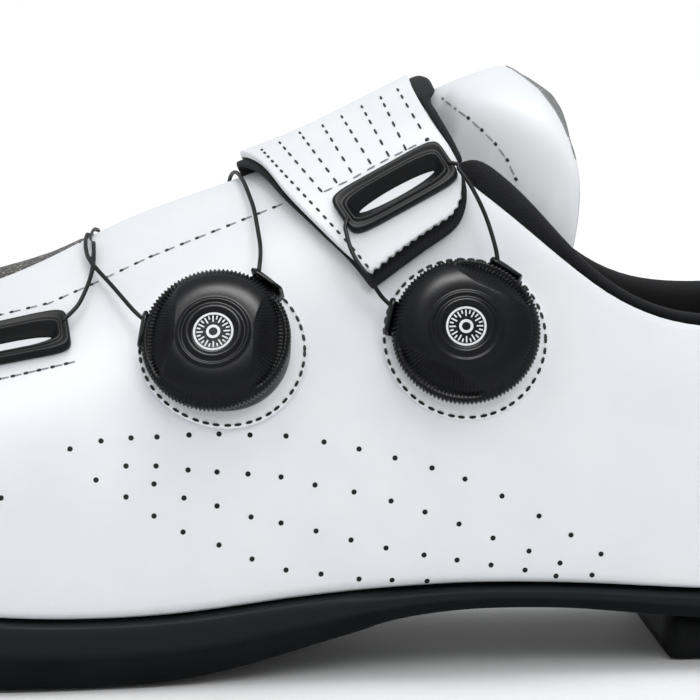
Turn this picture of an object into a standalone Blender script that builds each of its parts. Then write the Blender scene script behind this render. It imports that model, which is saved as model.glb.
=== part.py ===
"""A cycling shoe for the left foot: hard sole, hollow upper, tongue, instep strap and two lace dials.

Metres, +Z up. The toe points to -X, the heel to +X, and the outer side of the foot to -Y.
Every soft piece lies on one form, the last, whose points are read by last_point().
"""

import math

import bmesh
import bpy
import numpy as np
from mathutils import Matrix, Vector
from mathutils.bvhtree import BVHTree

# Driving sizes of the last
LENGTH = 0.280
BALL_WIDTH = 0.096
INSTEP_HEIGHT = 0.106
HEEL_STACK = 0.0165
BULGE = 0.0026
BULGE_HEIGHT = 0.062

# Clearance between pieces that touch on the real shoe
GAP = 0.0003

# Upper
WALL = 0.0020
LASTING_MARGIN = 0.011
VAMP_STATION = 0.270

# The last, from the toe to the heel. Columns: where the row stands on the sole's edge and the two
# half widths there (shares of LENGTH and BALL_WIDTH), the height of the sole's edge (share of
# HEEL_STACK), then the point of the crown that the row's arch climbs to (shares of LENGTH,
# INSTEP_HEIGHT and BALL_WIDTH).
LAST_ROWS = (
    # along, outer, inner, edge height, crown along, crown height, crown side
    (0.000, 0.060, 0.060, 1.36, 0.120, 0.475, 0.055),
    (0.014, -0.105, 0.200, 1.35, 0.124, 0.480, 0.055),
    (0.050, -0.262, 0.325, 1.30, 0.134, 0.492, 0.053),
    (0.114, -0.400, 0.430, 1.19, 0.158, 0.515, 0.050),
    (0.196, -0.480, 0.480, 1.05, 0.214, 0.578, 0.042),
    (0.286, -0.516, 0.484, 0.92, 0.293, 0.654, 0.030),
    (0.371, -0.520, 0.442, 0.79, 0.371, 0.723, 0.022),
    (0.464, -0.480, 0.370, 0.78, 0.464, 0.814, 0.010),
    (0.554, -0.424, 0.328, 0.92, 0.554, 0.899, 0.000),
    (0.643, -0.382, 0.318, 1.00, 0.643, 1.013, 0.000),
    (0.732, -0.360, 0.328, 0.98, 0.722, 1.091, 0.000),
    (0.814, -0.350, 0.338, 0.89, 0.793, 1.148, 0.000),
    (0.893, -0.323, 0.323, 0.84, 0.850, 1.175, 0.000),
    (0.950, -0.255, 0.260, 0.82, 0.882, 1.170, 0.000),
    (0.987, -0.130, 0.135, 0.81, 0.900, 1.160, 0.000),
    (1.000, 0.000, 0.000, 0.81, 0.907, 1.150, 0.000),
)

# The upper's top edge. Columns: station (share of the way from toe to heel along the last's rows),
# then how far up the arch the edge lies on the outer and the inner side. 1 is the crown; the outer
# flap goes past it.
TOP_EDGE = (
    # station, outer, inner
    (0.270, 1.000, 1.000),
    (0.295, 0.905, 0.915),
    (0.330, 0.840, 0.850),
    (0.383, 0.825, 0.800),
    (0.417, 0.864, 0.780),
    (0.434, 0.900, 0.775),
    (0.450, 1.020, 0.770),
    (0.475, 1.085, 0.765),
    (0.530, 1.100, 0.760),
    (0.565, 1.030, 0.750),
    (0.600, 0.870, 0.720),
    (0.628, 0.710, 0.660),
    (0.650, 0.580, 0.575),
    (0.667, 0.523, 0.520),
    (0.689, 0.450, 0.458),
    (0.711, 0.390, 0.402),
    (0.733, 0.340, 0.355),
    (0.755, 0.315, 0.328),
    (0.785, 0.299, 0.312),
    (0.840, 0.305, 0.313),
    (0.890, 0.334, 0.338),
    (0.935, 0.384, 0.385),
    (0.970, 0.420, 0.420),
    (1.000, 0.432, 0.432),
)

# The sole's underside. Columns: along (share of LENGTH), height (share of HEEL_STACK).
UNDERSIDE = (
    (0.000, 0.78),
    (0.070, 0.47),
    (0.140, 0.22),
    (0.210, 0.06),
    (0.270, 0.00),
    (0.440, 0.00),
    (0.484, 0.045),
    (0.516, 0.166),
    (0.550, 0.317),
    (0.583, 0.472),
    (0.616, 0.596),
    (0.650, 0.664),
    (0.684, 0.684),
    (0.718, 0.680),
    (0.752, 0.635),
    (0.779, 0.580),
    (0.805, 0.530),
    (0.850, 0.485),
    (0.920, 0.450),
    (1.000, 0.450),
)

# Profile of the sole's side. Columns: how far it stands out from the last, share of the depth.
SOLE_SIDE = (
    (0.0008, 0.00),
    (0.0020, 0.18),
    (0.0021, 0.46),
    (0.0013, 0.80),
    (0.0001, 1.00),
)

# Heel block
BLOCK_FRONT = 0.767
BLOCK_LEAN = 0.0008
BLOCK_INSET = 0.0051
BLOCK_DRAFT = 0.0006

# Insole
INSOLE_THICKNESS = 0.0030
INSOLE_INSET = 0.0038

# Section of the padded collar lining. Columns: up from the upper's edge, in from the last.
# Heights above zero are shares of BAND_RISE.
BAND_SECTION = (
    (-0.0120, 0.0034),
    (-0.0060, 0.0029),
    (-0.0004, 0.0028),
    (0.22, 0.0021),
    (0.45, 0.0010),
    (0.80, 0.0012),
    (1.00, 0.0030),
    (0.85, 0.0054),
    (0.10, 0.0066),
    (-0.0060, 0.0066),
    (-0.0120, 0.0050),
)
# The lining's front ends, tucked under the strap
LINING_FRONT = 0.650
LINING_END = 0.015
LINING_TAPER = 0.45
# How far the lining stands above the upper's edge. Columns: station, rise.
BAND_RISE = (
    (0.636, 0.0030),
    (0.650, 0.0048),
    (0.668, 0.0068),
    (0.696, 0.0058),
    (0.726, 0.0034),
    (0.780, 0.0030),
    (0.860, 0.0032),
    (1.000, 0.0036),
)

# Tongue
MESH_THICKNESS = 0.0022
MESH_DEPTH = 0.0033
PAD_THICKNESS = 0.0060
PAD_FRONT = 0.621
# Rear edge of the padded top. Columns: share of the arch, station.
PAD_REAR = (
    (0.40, 0.708),
    (0.45, 0.713),
    (0.50, 0.716),
    (0.56, 0.716),
    (0.63, 0.712),
    (0.74, 0.697),
    (0.90, 0.686),
    (1.00, 0.684),
)
# Where the padded top dips behind the collar. Columns: station, share of the arch.
PAD_DIP = (
    (0.620, 0.840),
    (0.640, 0.715),
    (0.656, 0.650),
    (0.668, 0.605),
    (0.684, 0.545),
    (0.701, 0.482),
    (0.717, 0.430),
)
PAD_DIP_DEPTH = 0.0074

# Instep strap. Columns: share of the arch, front edge's station, rear edge's station, lift.
STRAP_ROWS = (
    (0.450, 0.5930, 0.6390, 0.0040),
    (0.530, 0.5765, 0.6430, 0.0040),
    (0.570, 0.5690, 0.6465, 0.0040),
    (0.610, 0.5625, 0.6450, 0.0040),
    (0.690, 0.5500, 0.6350, 0.0041),
    (0.840, 0.5370, 0.6245, 0.0044),
    (1.000, 0.5250, 0.6235, 0.0046),
    (1.200, 0.5290, 0.6240, 0.0042),
    (1.500, 0.5450, 0.6330, 0.0038),
)
STRAP_END_FRONT = 0.466
STRAP_END_REAR = 0.524
STRAP_FAR_END = 1.480
STRAP_THICKNESS = 0.0014
STRAP_LINING = 0.0012
# How far the strap's lining shows past its near end (share of the arch) and beside it (stations)
LINING_PAST_END = 0.024
LINING_PAST_REAR = 0.0036
# The lining in front of the strap. Columns: share of the arch, stations.
LINING_PAST_FRONT = (
    (0.45, 0.0006),
    (0.62, 0.0006),
    (0.85, 0.0030),
    (1.60, 0.0030),
)
BINDING_RADIUS = 0.0009
BINDING_SET = 0.0045
BINDING_DROP = 0.0010
LINING_REAR_STOP = 0.615
LINING_REAR_FADE = 0.03
BINDING_START = 0.610
BINDING_END = 1.450

# Plastic guides. Columns: station, share of the arch, turn (degrees), lift.
GUIDES = {
    "strap_guide": (0.6080, 0.6060, 6.3, 0.0044),
    "vamp_guide": (0.3910, 0.5670, -5.0, 0.0003),
}
GUIDE_LENGTH = 0.0232
GUIDE_WIDTH = 0.0096
GUIDE_HEIGHT = 0.0030
# How far each mouth swings to the side: left, right.
GUIDE_SWINGS = {
    "strap_guide": (-0.0024, -0.0024),
    "vamp_guide": (0.0, 0.0024),
}
SLOT_LENGTH = 0.0150
SLOT_WIDTH = 0.0034

# Lace dials. Columns: station, share of the arch, axis.
DIALS = {
    "front": (0.5090, 0.4230, (-0.13, -0.87, 0.46)),
    "rear": (0.6440, 0.3270, (-0.07, -0.94, 0.33)),
}
# Cable ears of each dial. Columns: angle round the dial, how far the mouth lies to the side, and the
# angle between the cable and the ear's own direction (degrees).
EARS = {
    "front": (
        (152.0, -0.0024, -32.0),
        (34.0, 0.0025, 32.0),
    ),
    "rear": (
        (154.0, -0.0024, -31.0),
        (44.0, 0.0024, 40.0),
    ),
}
PATCH_RADIUS = 0.0155
PATCH_THICKNESS = 0.0012
HOUSING_RADIUS = 0.0128
HOUSING_TOP = 0.0044
EAR_FOOT = 0.0100
EAR_NEAR = 0.0138
EAR_FAR = 0.0148
EAR_WIDTH = 0.0066
EAR_TOP = 0.0073
EAR_MOUTH = 0.0056
MOUTH_REACH = 0.0003
MOUTH_DEPTH = 0.0018
MOUTH_CLEAR = 0.0016
KNOB_STEPS = 28
# Profile of a knob from its middle down the outer side. Columns: radius, height over the last.
KNOB_PROFILE = (
    (0.0000, 0.0107),
    (0.0055, 0.0105),
    (0.0103, 0.0097),
    (0.0124, 0.0089),
    (0.0134, 0.0079),
    (0.0135, 0.0052),
    (0.0130, 0.0047),
    (0.0000, 0.0047),
)

# Cables between the pieces that hold them. Columns: station, share of the arch, lift.
CABLE_RADIUS = 0.00048
BORE = 0.00085
CABLES = {
    "front_left": (
        (0.4500, 0.613, 0.0022),
        (0.4443, 0.657, 0.0019),
        (0.4386, 0.707, 0.0017),
        (0.4350, 0.755, 0.0012),
        (0.4335, 0.815, 0.0010),
        (0.4335, 0.875, 0.0008),
        (0.4345, 0.960, 0.0000),
        (0.4365, 1.070, 0.0000),
        (0.4385, 1.170, 0.0012),
    ),
    "front_guide": (
        (0.4450, 1.170, 0.0012),
        (0.4425, 1.080, 0.0002),
        (0.4400, 1.000, 0.0004),
        (0.4380, 0.900, 0.0010),
        (0.4380, 0.810, 0.0010),
        (0.4386, 0.735, 0.0012),
        (0.4375, 0.680, 0.0014),
        (0.4340, 0.627, 0.0017),
        (0.4300, 0.595, 0.0018),
    ),
    "front_top": (
        (0.5314, 0.600, 0.0028),
        (0.5300, 0.655, 0.0020),
        (0.5284, 0.720, 0.0014),
        (0.5255, 0.790, 0.0011),
        (0.5225, 0.875, 0.0010),
        (0.5190, 0.990, 0.0010),
        (0.5160, 1.100, 0.0011),
        (0.5150, 1.190, 0.0014),
    ),
    "front_far": (
        (0.3400, 0.640, 0.0016),
        (0.3390, 0.760, 0.0012),
        (0.3400, 0.880, 0.0012),
        (0.3420, 1.000, 0.0012),
        (0.3440, 1.110, 0.0012),
    ),
    "strap_left": (
        (0.5905, 0.448, 0.0064),
        (0.5850, 0.480, 0.0064),
        (0.5812, 0.515, 0.0062),
        (0.5795, 0.553, 0.0060),
    ),
    "strap_right": (
        (0.6430, 0.594, 0.0060),
        (0.6480, 0.565, 0.0060),
        (0.6535, 0.525, 0.0058),
        (0.6580, 0.485, 0.0058),
    ),
}
# What each cable starts and ends in: a piece, and which of its mouths.
CABLE_ENDS = {
    "front_left": (("front", 0), ("anchor_middle", 0)),
    "front_guide": (("anchor_middle", 1), ("vamp_guide", 1)),
    "front_top": (("front", 1), ("anchor_rear", 0)),
    "front_far": (("vamp_guide", 0), ("anchor_front", 0)),
    "strap_left": (("rear", 0), ("strap_guide", 0)),
    "strap_right": (("strap_guide", 1), ("rear", 1)),
}

# Lace anchors on the inner flap. Columns: station, share of the arch, places of the mouths.
ANCHORS = {
    "anchor_front": (0.3440, 1.2150, (0.0,)),
    "anchor_middle": (0.4420, 1.2750, (-0.0012, 0.0012)),
    "anchor_rear": (0.5150, 1.2900, (0.0,)),
}
ANCHOR_LENGTH = 0.0066
ANCHOR_WIDTH = 0.0050
ANCHOR_HEIGHT = 0.0030

# Colours and surface. Columns: colour, roughness, metallic.
MATERIALS = {
    "leather": ((0.86, 0.87, 0.89), 0.38, 0.0),
    "sole": ((0.012, 0.013, 0.015), 0.42, 0.0),
    "rubber": ((0.016, 0.017, 0.019), 0.62, 0.0),
    "lining": ((0.018, 0.018, 0.020), 0.85, 0.0),
    "mesh": ((0.035, 0.035, 0.038), 0.80, 0.0),
    "plastic": ((0.014, 0.015, 0.017), 0.40, 0.0),
    "cable": ((0.010, 0.010, 0.011), 0.50, 0.0),
    "insole": ((0.10, 0.10, 0.11), 0.80, 0.0),
}

# Fineness of the meshes
STATION_STEPS = 34
ARCH_SHARES = (0.0, 0.07, 0.18, 0.30, 0.42, 0.54, 0.66, 0.78, 0.89, 1.0)
PATCH_STEPS = 22
GUIDE_STEPS = 24
CABLE_SIDES = 6
CABLE_STEPS = 2

CROWN = 1.0
NUDGE = 0.0005

rows = np.array(LAST_ROWS)
band_rise = np.array(BAND_RISE)
pad_rear = np.array(PAD_REAR)
pad_dip = np.array(PAD_DIP)
strap_rows = np.array(STRAP_ROWS)
past_front = np.array(LINING_PAST_FRONT)
top_edge = np.array(TOP_EDGE)
underside = np.array(UNDERSIDE)


def knots_from_rows():
    """Station of each row: a share of the way along the outer edge, evened out a little."""
    edge = np.stack((rows[:, 0] * LENGTH, rows[:, 1] * BALL_WIDTH), axis=1)
    steps = np.linalg.norm(np.diff(edge, axis=0), axis=1) ** 0.7
    shares = np.concatenate(((0.0,), np.cumsum(steps)))
    return shares / shares[-1]


def smooth(knots, values, at, start=0.0, end=0.0):
    """A smooth curve through the values."""
    gaps = np.diff(knots)
    steps = np.diff(values) / gaps
    slopes = np.zeros(len(values))
    slopes[1:-1] = (steps[:-1] * gaps[1:] + steps[1:] * gaps[:-1]) / (gaps[1:] + gaps[:-1])
    slopes[0] = start
    slopes[-1] = end
    place = int(np.clip(np.searchsorted(knots, at, side="right") - 1, 0, len(knots) - 2))
    gap = gaps[place]
    part = min(max((at - knots[place]) / gap, 0.0), 1.0)
    near = values[place] * (1 + 2 * part) * (1 - part) ** 2
    far = values[place + 1] * part * part * (3 - 2 * part)
    bend = slopes[place] * gap * part * (1 - part) ** 2
    bend += slopes[place + 1] * gap * part * part * (part - 1)
    return near + far + bend


knots = knots_from_rows()


def row_value(column, station):
    """One column of the last's table at a station."""
    start = 0.0
    end = 0.0
    if column in (1, 2):
        other = rows[:, 3 - column]
        start = (rows[1, column] - other[1]) / (2 * (knots[1] - knots[0]))
        end = -(rows[-2, column] - other[-2]) / (2 * (knots[-1] - knots[-2]))
    return smooth(knots, rows[:, column], station, start, end)


def bottom_point(station, side):
    """A point of the sole's edge; side is -1 on the outer half and 1 on the inner one."""
    across = row_value(1, station) if side < 0 else row_value(2, station)
    return Vector((
        row_value(0, station) * LENGTH,
        across * BALL_WIDTH,
        row_value(3, station) * HEEL_STACK,
    ))


def bare_point(station, around):
    """A point of the last; around runs from 0 on the outer edge over 1, the crown, to 2."""
    side = -1 if around <= CROWN else 1
    share = around if around <= CROWN else 2 * CROWN - around
    foot = bottom_point(station, side)
    top = Vector((
        row_value(4, station) * LENGTH,
        row_value(6, station) * BALL_WIDTH,
        row_value(5, station) * INSTEP_HEIGHT,
    ))
    before = max(station - 0.0001, 0.0)
    after = min(station + 0.0001, 1.0)
    climb = (row_value(5, after) - row_value(5, before)) * INSTEP_HEIGHT
    advance = (row_value(4, after) - row_value(4, before)) * LENGTH
    slope = climb / advance if abs(advance) > 1e-9 else 0.0
    lean = min(max(slope, 0.0), 0.5) * (top.x - foot.x)
    angle = share * math.pi / 2
    run = 1 - math.cos(angle)
    rise = (top.z - foot.z - lean) * math.sin(angle) + lean * run
    inward = Vector((top.x - foot.x, top.y - foot.y, 0.0))
    reach = max(inward.length, 1e-6)
    bulge = BULGE * math.sin(math.pi * min(max(rise / BULGE_HEIGHT, 0.0), 1.0)) ** 2
    point = foot + inward * run - inward / reach * bulge
    point.z = foot.z + rise
    return point


def last_frame(station, around):
    """Point, direction toward the heel, direction up the arch, and the outward normal."""
    point = bare_point(station, around)
    before = bare_point(max(station - NUDGE, 0.0), around)
    after = bare_point(min(station + NUDGE, 1.0), around)
    below = bare_point(station, max(around - NUDGE, 0.0))
    above = bare_point(station, min(around + NUDGE, 2 * CROWN))
    along = (after - before).normalized()
    climb = (above - below).normalized()
    normal = along.cross(climb).normalized()
    if station < NUDGE:
        normal.y = 0.0
        normal.normalize()
    if station > 1 - NUDGE:
        normal.y = 0.0
        normal.normalize()
    return point, along, climb, normal


def on_last(station, around, lift=0.0):
    """A point over the last."""
    point, _, _, normal = last_frame(station, around)
    return point + normal * lift


def arch_shift(station, around, distance):
    """The share of the arch that a distance up it makes."""
    step = (bare_point(station, around + 0.01) - bare_point(station, around - 0.01)).length
    return distance / step * 0.02


def edge_share(station, side):
    """How far up the arch the upper's edge lies."""
    if station <= VAMP_STATION:
        return CROWN
    return smooth(top_edge[:, 0], top_edge[:, 1 if side < 0 else 2], station)


def outline(side, station, out):
    """A point of the sole's edge, moved outward in plan."""
    point = bottom_point(station, side)
    before = bottom_point(max(station - NUDGE, 0.0), side)
    after = bottom_point(min(station + NUDGE, 1.0), side)
    ahead = (after - before)
    normal = Vector((ahead.y, -ahead.x, 0.0)).normalized() * -side
    if station < NUDGE:
        normal = Vector((-1.0, 0.0, 0.0))
    if station > 1 - NUDGE:
        normal = Vector((1.0, 0.0, 0.0))
    return point + normal * out


def new_collection(name):
    group = bpy.data.collections.new(name)
    bpy.context.scene.collection.children.link(group)
    return group


def make_material(name):
    colour, roughness, metallic = MATERIALS[name]
    material = bpy.data.materials.new(name)
    material.use_nodes = True
    surface = material.node_tree.nodes["Principled BSDF"]
    surface.inputs["Base Color"].default_value = (*colour, 1.0)
    surface.inputs["Roughness"].default_value = roughness
    surface.inputs["Metallic"].default_value = metallic
    material.diffuse_color = (*colour, 1.0)
    return material


def add_mesh(name, points, faces, material, group, closed=True):
    """One object from points and faces, doubles merged and faces turned outward."""
    mesh = bpy.data.meshes.new(name)
    mesh.from_pydata([tuple(point) for point in points], [], faces)
    shape = bmesh.new()
    shape.from_mesh(mesh)
    bmesh.ops.remove_doubles(shape, verts=shape.verts, dist=0.00002)
    if closed:
        bmesh.ops.recalc_face_normals(shape, faces=shape.faces)
    for face in shape.faces:
        face.smooth = True
    shape.to_mesh(mesh)
    shape.free()
    item = bpy.data.objects.new(name, mesh)
    if material is not None:
        mesh.materials.append(materials[material])
    group.objects.link(item)
    return item


def loft(name, rings, material, group=None, caps=True, wrap=False):
    """A solid through closed rings of equal length."""
    count = len(rings[0])
    points = [point for ring in rings for point in ring]
    faces = []
    spans = len(rings) if wrap else len(rings) - 1
    for row in range(spans):
        near = row * count
        far = ((row + 1) % len(rings)) * count
        for step in range(count):
            after = (step + 1) % count
            faces.append((near + step, near + after, far + after, far + step))
    if caps and not wrap:
        faces.append(tuple(range(count)))
        faces.append(tuple(range(len(points) - count, len(points))))
    return add_mesh(name, points, faces, material, group or parts)


def sheet(name, grid, thickness, material):
    """A sheet from a grid whose rows climb the last, thickened inward."""
    wide = len(grid[0])
    points = [point for row in grid for point in row]
    faces = []
    for row in range(len(grid) - 1):
        for step in range(wide - 1):
            corner = row * wide + step
            faces.append((corner, corner + 1, corner + wide + 1, corner + wide))
    item = add_mesh(name, points, faces, material, parts, closed=False)
    thicken(item, thickness)
    return item


def thicken(item, thickness):
    solidify = item.modifiers.new("wall", "SOLIDIFY")
    solidify.thickness = thickness
    solidify.offset = -1.0
    solidify.use_rim = True


def boolean(item, other, operation):
    other.hide_render = True
    other.display_type = "WIRE"
    change = item.modifiers.new(operation.lower(), "BOOLEAN")
    change.operation = operation
    change.solver = "EXACT"
    change.object = other


def around_of(side, share):
    return share if side < 0 else 2 * CROWN - share


def edge_height(x):
    """Height of the sole's upper edge at a place along the shoe."""
    return float(np.interp(x, edge_line[:, 0], edge_line[:, 1]))


def underside_height(x):
    share = min(max(x / LENGTH, 0.0), 1.0)
    return max(smooth(underside[:, 0], underside[:, 1], share), 0.0) * HEEL_STACK


def build_upper():
    points = []
    faces = []
    for side in (-1, 1):
        start = len(points)
        for station in stations:
            for part in (1.0, 0.5):
                point = outline(side, station, -LASTING_MARGIN * part)
                point.z = edge_height(point.x)
                points.append(point)
            edge = edge_share(station, side)
            for share in ARCH_SHARES:
                points.append(on_last(station, around_of(side, share * edge)))
        tall = len(ARCH_SHARES) + 2
        for column in range(len(stations) - 1):
            for row in range(tall - 1):
                corner = start + column * tall + row
                ring = (corner, corner + tall, corner + tall + 1, corner + 1)
                faces.append(ring if side < 0 else ring[::-1])
    item = add_mesh("upper", points, faces, "leather", parts, closed=False)
    thicken(item, WALL)


def build_sole():
    rings = []
    for station in stations:
        ring = []
        for side in (-1, 1):
            wall = []
            for out, share in SOLE_SIDE:
                point = outline(side, station, out)
                top = edge_height(point.x) - GAP
                point.z = top + (underside_height(point.x) - top) * share
                wall.append(point)
            ring.extend(wall if side < 0 else wall[::-1])
        rings.append(ring)
    loft("outsole", rings, "sole", caps=False)


def build_heel_block():
    rings = []
    for station in [BLOCK_FRONT] + [value for value in stations if value > BLOCK_FRONT + 0.01]:
        ring = []
        for side, order in ((-1, 1), (1, -1)):
            top = outline(side, station, -BLOCK_INSET - BLOCK_DRAFT)
            foot = outline(side, station, -BLOCK_INSET)
            if not rings:
                foot.x -= BLOCK_LEAN
            top.z = underside_height(top.x) - GAP
            foot.z = 0.0
            ring.extend((top, foot)[::order])
        rings.append(ring)
    count = len(rings[0])
    points = [point for ring in rings for point in ring]
    faces = [tuple(range(count))]
    for row in range(len(rings) - 1):
        for step in range(count):
            after = (step + 1) % count
            near = row * count
            faces.append((near + step, near + after, near + count + after, near + count + step))
    add_mesh("heel_block", points, faces, "rubber", parts)


def build_insole():
    rings = []
    for station in stations:
        ring = []
        for side, order in ((-1, 1), (1, -1)):
            top = outline(side, station, -INSOLE_INSET - 0.0014)
            foot = outline(side, station, -INSOLE_INSET)
            foot.z = edge_height(foot.x) + WALL + GAP
            top.z = edge_height(top.x) + WALL + GAP + INSOLE_THICKNESS
            ring.extend((top, foot)[::order])
        rings.append(ring)
    loft("insole", rings, "insole", caps=False)


def lining_ring(station, side, scale):
    edge = edge_share(station, side)
    rise = smooth(band_rise[:, 0], band_rise[:, 1], station)
    middle_up = 0.5 * (rise - 0.012)
    ring = []
    for up, depth in BAND_SECTION:
        height = up * rise if up > 0 else up
        height = middle_up + (height - middle_up) * scale
        inset = 0.0050 + (depth - 0.0050) * scale
        share = edge + arch_shift(station, around_of(side, edge), height)
        ring.append(on_last(station, around_of(side, share), -inset))
    return ring


def build_lining():
    places = [value for value in stations if value > LINING_FRONT - 0.001]
    rings = [lining_ring(value, -1, 1.0) for value in places]
    rings += [lining_ring(value, 1, 1.0) for value in places[:-1][::-1]]
    rings.insert(0, lining_ring(places[0] - LINING_END, -1, LINING_TAPER))
    rings.append(lining_ring(places[0] - LINING_END, 1, LINING_TAPER))
    loft("collar_lining", rings, "lining")


def step_up(value):
    value = min(max(value, 0.0), 1.0)
    return value * value * (3 - 2 * value)


def build_tongue():
    grid = []
    first = 0.236
    last = PAD_FRONT - 0.006
    columns = 12
    for share in np.linspace(0.60, 1.40, 13):
        row = []
        for column in range(columns + 1):
            station = first + (last - first) * column / columns
            low = edge_share(station, -1)
            high = 2 * CROWN - edge_share(station, 1)
            bare = step_up((station - 0.290) / 0.05) * step_up((0.426 - station) / 0.05)
            place = (share - low - 0.015) / max(high - low - 0.03, 0.05)
            swell = math.sin(math.pi * min(max(place, 0.0), 1.0)) * bare
            row.append(on_last(station, share, -MESH_DEPTH + (MESH_DEPTH - 0.0004) * swell))
        grid.append(row)
    sheet("tongue_mesh", grid, MESH_THICKNESS, "mesh")


def build_tongue_pad():
    steps = (0.0, 0.15, 0.35, 0.55, 0.74, 0.88, 0.96, 1.0)
    rings = []
    for around in np.linspace(0.405, 1.595, 17):
        share = around if around <= CROWN else 2 * CROWN - around
        rear = smooth(pad_rear[:, 0], pad_rear[:, 1], share)
        slim = 0.35 + 0.65 * step_up((share - 0.40) / 0.16)
        outer = []
        inner = []
        for step in steps:
            station = PAD_FRONT + (rear - PAD_FRONT) * step
            hide = smooth(pad_dip[:, 0], pad_dip[:, 1], station)
            dip = PAD_DIP_DEPTH * step_up((hide + 0.14 - share) / 0.14)
            turn = max(step - 0.74, 0.0) / 0.26
            round_off = 0.44 * (1 - math.sqrt(max(1 - turn * turn, 0.0)))
            thick = PAD_THICKNESS * slim
            outer.append(on_last(station, around, -dip - thick * round_off))
            inner.append(on_last(station, around, -dip - thick * (1 - round_off)))
        rings.append(outer + inner[::-1])
    loft("tongue_pad", rings, "leather")


def strap_grid(lining, drop, columns, lengths):
    """Grid over the strap; the lining shows past its near end and its two sides."""
    grid = []
    near = LINING_PAST_END * lining
    for part in np.linspace(0.0, 1.0, lengths):
        row = []
        for across in np.linspace(0.0, 1.0, columns):
            end = STRAP_END_FRONT + (STRAP_END_REAR - STRAP_END_FRONT) * across - near
            share = end + (STRAP_FAR_END - end) * part
            beside = step_up((LINING_REAR_STOP - share) / LINING_REAR_FADE) * LINING_PAST_REAR * lining
            ahead = smooth(past_front[:, 0], past_front[:, 1], share) * lining
            low = smooth(strap_rows[:, 0], strap_rows[:, 1], share) - ahead
            high = smooth(strap_rows[:, 0], strap_rows[:, 2], share) + beside
            lift = smooth(strap_rows[:, 0], strap_rows[:, 3], share) - drop
            row.append(on_last(low + (high - low) * across, share, lift))
        grid.append(row)
    return grid


def build_strap():
    sheet("instep_strap", strap_grid(0.0, 0.0, 7, 17), STRAP_THICKNESS, "leather")
    under = strap_grid(1.0, STRAP_THICKNESS + GAP, 5, 17)
    sheet("strap_lining", under, STRAP_LINING, "lining")
    path = []
    for share in np.linspace(BINDING_START, BINDING_END, 22):
        station = smooth(strap_rows[:, 0], strap_rows[:, 2], share) + BINDING_SET
        lift = smooth(strap_rows[:, 0], strap_rows[:, 3], share) - BINDING_DROP
        path.append(on_last(station, share, lift))
    tube("strap_binding", path, BINDING_RADIUS, "lining", parts, 7)


def tube(name, path, radius, material, group, sides):
    """A round bar along a path, its rings carried along without twist."""
    rings = []
    ahead = (path[1] - path[0]).normalized()
    across = ahead.orthogonal().normalized()
    for place, point in enumerate(path):
        before = path[max(place - 1, 0)]
        after = path[min(place + 1, len(path) - 1)]
        ahead = (after - before).normalized()
        across = (across - ahead * across.dot(ahead)).normalized()
        other = ahead.cross(across)
        ring = []
        for step in range(sides):
            angle = 2 * math.pi * step / sides
            ring.append(point + (across * math.cos(angle) + other * math.sin(angle)) * radius)
        rings.append(ring)
    return loft(name, rings, material, group)


class Seat:
    """A place on the last with its own axes; points are dropped on the last along the normal."""

    def __init__(self, station, around, turn=0.0, axis=None):
        point, along, _, normal = last_frame(station, around)
        self.centre = point
        self.normal = Vector(axis).normalized() if axis else normal
        level = (along - self.normal * along.dot(self.normal)).normalized()
        upward = self.normal.cross(level)
        angle = math.radians(turn)
        self.right = level * math.cos(angle) + upward * math.sin(angle)
        self.up = self.normal.cross(self.right)

    def at(self, right, up, height=0.0):
        return self.centre + self.right * right + self.up * up + self.normal * height

    def drop(self, right, up):
        """Height of the last under a place."""
        start = self.at(right, up, 0.03)
        hit = last_tree.ray_cast(start, -self.normal)[0]
        return (hit - self.centre).dot(self.normal)

    def over(self, right, up, height):
        return self.at(right, up, self.drop(right, up) + height)


def circle(steps, radius):
    turns = [2 * math.pi * step / steps for step in range(steps)]
    return [(radius * math.cos(turn), radius * math.sin(turn)) for turn in turns]


def build_guide(name):
    station, around, turn, lift = GUIDES[name]
    seat = Seat(station, around, turn)
    rings = []
    for step in range(GUIDE_STEPS):
        angle = 2 * math.pi * step / GUIDE_STEPS
        cosine = math.cos(angle)
        sine = math.sin(angle)
        right = math.copysign(abs(cosine) ** 0.55, cosine) * GUIDE_LENGTH / 2
        up = math.copysign(abs(sine) ** 0.55, sine) * GUIDE_WIDTH / 2
        slot_right = cosine * SLOT_LENGTH / 2
        slot_up = math.copysign(abs(sine) ** 1.25, sine) * SLOT_WIDTH / 2
        profile = (
            (1.0, 0.0, 0.0),
            (1.0, 0.0, 0.62),
            (0.86, 0.14, 1.0),
            (0.28, 0.72, 1.0),
            (0.0, 1.0, 0.72),
            (0.0, 1.0, 0.0),
        )
        ring = []
        for own, other, height in profile:
            place_right = right * own + slot_right * other
            place_up = up * own + slot_up * other
            ring.append(seat.over(place_right, place_up, lift + GUIDE_HEIGHT * height))
        rings.append(ring)
    item = loft(name, rings, "plastic", wrap=True)
    half = GUIDE_LENGTH / 2
    for sign, swing in zip((-1, 1), GUIDE_SWINGS[name]):
        level = lift + GUIDE_HEIGHT * 0.5
        inner = seat.over(sign * half * 0.74, -swing * 0.25, level)
        outer = seat.over(sign * half * 0.96, swing * 0.75, level)
        mouths[name].append((inner, outer, outer + (outer - inner).normalized() * 0.0018))
    return item


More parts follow.
